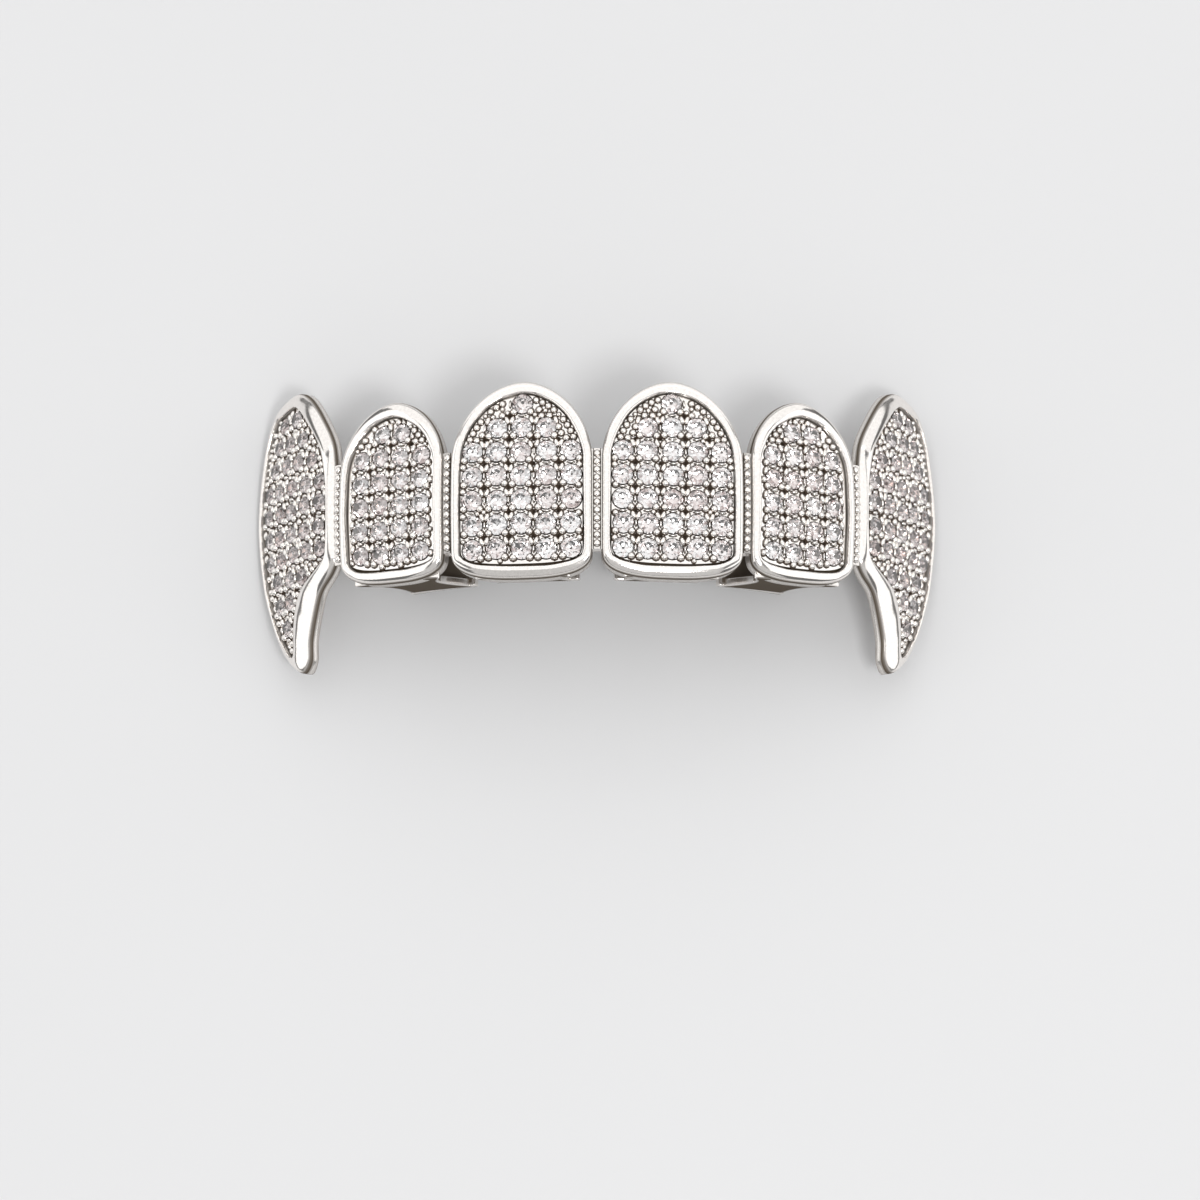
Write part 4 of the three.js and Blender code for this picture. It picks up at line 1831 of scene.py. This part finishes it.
    def _setting(self, plan: Field, bead: Pattern, label: str) -> bpy.types.Object:
        """Set the plate's beads, and wrap both onto the tooth.

        Args:
            plan: The plan of the field.
            bead: The prong bead.
            label: The field's part of the name.

        Returns:
            The setting in its place.
        """
        tooth = self.arch.teeth[self.name]
        places = self.bead_places(plan)
        copies = []
        for s, v, width, length, turn in places:
            shaped = turned(bead.points * (width, length, math.sqrt(min(width, length))), math.radians(turn))
            copies.append(shaped + (s, v, self.plate_front))
        beads = bead.set_at(f"beads_{label}", copies, self.metals)
        plate = self._plate(plan, places, label)
        setting = Workbench.join([beads, plate], f"setting_{label}")
        Workbench.wrap(setting, self._place(tooth), self.side)
        Workbench.smooth(setting, self.smooth_angle)
        return setting

    def _stones(self, plan: Field, stone: Pattern, label: str) -> bpy.types.Object:
        """Set the stones, each turned and tipped a little in its seat.

        Args:
            plan: The plan of the field.
            stone: The cut stone.
            label: The field's part of the name.

        Returns:
            The stones in their places.
        """
        tooth = self.arch.teeth[self.name]
        chance = np.random.default_rng(len(label) * self.seed_step + self.side.value)
        copies = []
        tints_and_painted_reflections = []
        for place in plan.stones:
            points = turned(stone.points * plan.rows.radius, chance.uniform(0, 2 * math.pi / StoneCut.folds))
            lean = np.radians(chance.normal(0, self.stone_tilt / 2, 2))
            points[:, 2] += points[:, 0] * lean[0] + points[:, 1] * lean[1]
            copies.append(points + (*place, self.stone_girdle))
            tints_and_painted_reflections.append(plan.rows.blush + self._tints_and_painted_reflections(stone, chance))
        stones = stone.set_at(f"stones_{label}", copies, (self.stone,))
        # Face attribute with each stone's tone and the painted dark reflections of its facets.
        tint = stones.data.attributes.new(ClearStone.tint_name, "FLOAT", "FACE")
        tint.data.foreach_set("value", np.concatenate(tints_and_painted_reflections).astype(np.float32))
        Workbench.wrap(stones, self._place(tooth), self.side)
        return stones

    def _tints_and_painted_reflections(self, stone: Pattern, chance: np.random.Generator) -> Points:
        """Choose a stone's tone, and the few crown facets that get painted dark reflections.

        Args:
            stone: The cut stone.
            chance: Source of the choices.

        Returns:
            The tone of each facet, with the painted reflections added.
        """
        heights = np.array(stone.heights)
        tints_and_painted_reflections = np.full(len(heights), self.tint_most * chance.beta(*self.tint_spread))
        crown = (heights > 0.0) & (heights < heights.max() - LEVEL)
        # Painted dark reflections on crown facets chosen at random.
        dark = crown & (chance.random(len(heights)) < self.painted_reflection_share)
        tints_and_painted_reflections[dark] += chance.uniform(*self.painted_reflection_range, np.count_nonzero(dark))
        return tints_and_painted_reflections

    def _place(self, tooth: Tooth) -> Mapping:
        """Give the mapping from the flat field to the tooth's place."""
        return lambda flat: self.arch.to_row(tooth.face(flat), self.side)


@dataclass(frozen=True)
class StoneCut:
    """A round brilliant cut, as shares of its radius."""

    table: float = 0.56
    star: float = 0.78
    lower: float = 0.24
    crown: float = 0.3
    girdle: float = 0.05
    pavilion: float = 0.79
    culet: float = 0.02
    folds: int = 8
    flat_angle: float = 0.02

    def model(self) -> Pattern:
        """Model the stone: circles for its corners, closed by a hull of flat facets.

        Returns:
            The stone as a pattern.
        """
        Workbench.clear()
        bpy.ops.mesh.primitive_circle_add(vertices=2 * self.folds, radius=1.0, fill_type="NOTHING")
        obj = bpy.context.object
        bpy.ops.object.mode_set(mode="EDIT")
        half_facet = math.pi / self.folds
        slope = math.cos(half_facet)
        star_height = self.crown * (1 - self.star * slope) / (1 - self.table)
        lower_depth = self.girdle + self.pavilion * (1 - self.lower * slope)
        corners = (
            (2 * self.folds, 1.0, -self.girdle, 0.0),
            (self.folds, self.table, self.crown, 0.0),
            (self.folds, self.star, star_height, half_facet),
            (self.folds, self.lower, -lower_depth, half_facet),
            (self.folds, self.culet, -self.girdle - self.pavilion, 0.0),
        )
        for count, share, height, turn in corners:
            bpy.ops.mesh.primitive_circle_add(
                vertices=count,
                radius=share,
                fill_type="NOTHING",
                location=(0, 0, height),
                rotation=(0, 0, turn),
            )
        bpy.ops.mesh.select_all(action="SELECT")
        bpy.ops.mesh.convex_hull(face_threshold=self.flat_angle, shape_threshold=self.flat_angle)
        bpy.ops.mesh.normals_make_consistent(inside=False)
        bpy.ops.object.mode_set(mode="OBJECT")
        return Pattern.taken_from(obj)


# Studio


@dataclass(frozen=True)
class Panel:
    """A soft light panel: its place round the object, its size and its brightness."""

    name: str
    azimuth: float
    elevation: float
    distance: float
    width: float
    height: float
    radiance: float


@dataclass
class Studio:
    """Floor, soft lights and camera."""

    floor: PaleFloor = PaleFloor()
    floor_size: float = 4.0
    world_grey: float = 0.16
    aim: tuple[float, float, float] = (0.0, 0.0, 0.006)
    camera_place: tuple[float, float, float] = (0.000179, -0.08483, 0.38293)
    camera_tilt: float = 12.0
    camera_lens: float = 191.52
    camera_sensor: float = 36.0
    camera_near: float = 0.01
    panels: tuple[Panel, ...] = (
        Panel("overhead", 180.0, 74.0, 0.75, 0.9, 0.9, 0.97),
        Panel("front", 0.0, 42.0, 0.8, 1.0, 1.1, 0.42),
        Panel("back", 180.0, 26.0, 0.8, 1.6, 0.6, 0.9),
        Panel("right", 90.0, 30.0, 0.8, 1.0, 0.7, 1.05),
        Panel("left", 270.0, 30.0, 0.8, 1.0, 0.7, 1.05),
        Panel("sparkle", 30.0, 66.0, 0.7, 0.15, 0.15, 19.0),
    )

    def build(self) -> None:
        """Set the floor, the lights and the camera."""
        self._floor()
        for panel in self.panels:
            self._light(panel)
        self._world()
        self._camera()

    def _floor(self) -> None:
        """Lay the floor."""
        Workbench.clear()
        bpy.ops.mesh.primitive_plane_add(size=self.floor_size)
        floor = bpy.context.object
        floor.name = "floor"
        floor.data.materials.append(self.floor.material())

    def _light(self, panel: Panel) -> None:
        """Hang one panel, turned to the object.

        Args:
            panel: The panel.
        """
        azimuth, elevation = math.radians(panel.azimuth), math.radians(panel.elevation)
        away = np.array((
            math.sin(azimuth) * math.cos(elevation),
            -math.cos(azimuth) * math.cos(elevation),
            math.sin(elevation),
        ))
        Workbench.clear()
        bpy.ops.object.light_add(type="AREA", location=np.array(self.aim) + away * panel.distance)
        light = bpy.context.object
        light.name = f"panel_{panel.name}"
        light.rotation_euler = (math.pi / 2 - elevation, 0.0, azimuth)
        light.data.shape = "RECTANGLE"
        light.data.size = panel.width
        light.data.size_y = panel.height
        light.data.energy = panel.radiance * math.pi * panel.width * panel.height

    def _world(self) -> None:
        """Give the room a plain grey."""
        world = bpy.data.worlds.new("studio")
        bpy.context.scene.world = world
        world.use_nodes = True
        background = next(node for node in world.node_tree.nodes if node.type == "BACKGROUND")
        background.inputs["Color"].default_value = (self.world_grey,) * 3 + (1.0,)

    def _camera(self) -> None:
        """Set the camera at the photograph's angle to the grill."""
        Workbench.clear()
        tilt = math.radians(self.camera_tilt)
        bpy.ops.object.camera_add(location=self.camera_place, rotation=(tilt, 0.0, 0.0))
        camera = bpy.context.object
        camera.name = "camera"
        camera.data.sensor_width = self.camera_sensor
        camera.data.lens = self.camera_lens
        camera.data.clip_start = self.camera_near
        bpy.context.scene.camera = camera
        bpy.context.scene.view_settings.view_transform = "Standard"


def report(piece: bpy.types.Object) -> None:
    """Log a finished piece."""
    LOG.info("%s: %d faces", piece.name, len(piece.data.polygons))


def main() -> None:
    """Build the grill's pieces in order, and set the studio."""
    logging.basicConfig(level=logging.INFO, format="%(name)s %(message)s")
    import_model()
    Studio().build()
    arch = Arch()
    metals = (PolishedMetal().material(), PaintedRecessShade().material())
    report(CastFrame(arch, metals).build())
    clear_stone = ClearStone().material()
    bead = PaveField.prong.model()
    stone = StoneCut().model()
    for name in ToothName:
        for side in Side:
            for piece in PaveField(arch, name, side, metals, clear_stone).build(bead, stone):
                report(piece)


if __name__ == "__main__":
    main()
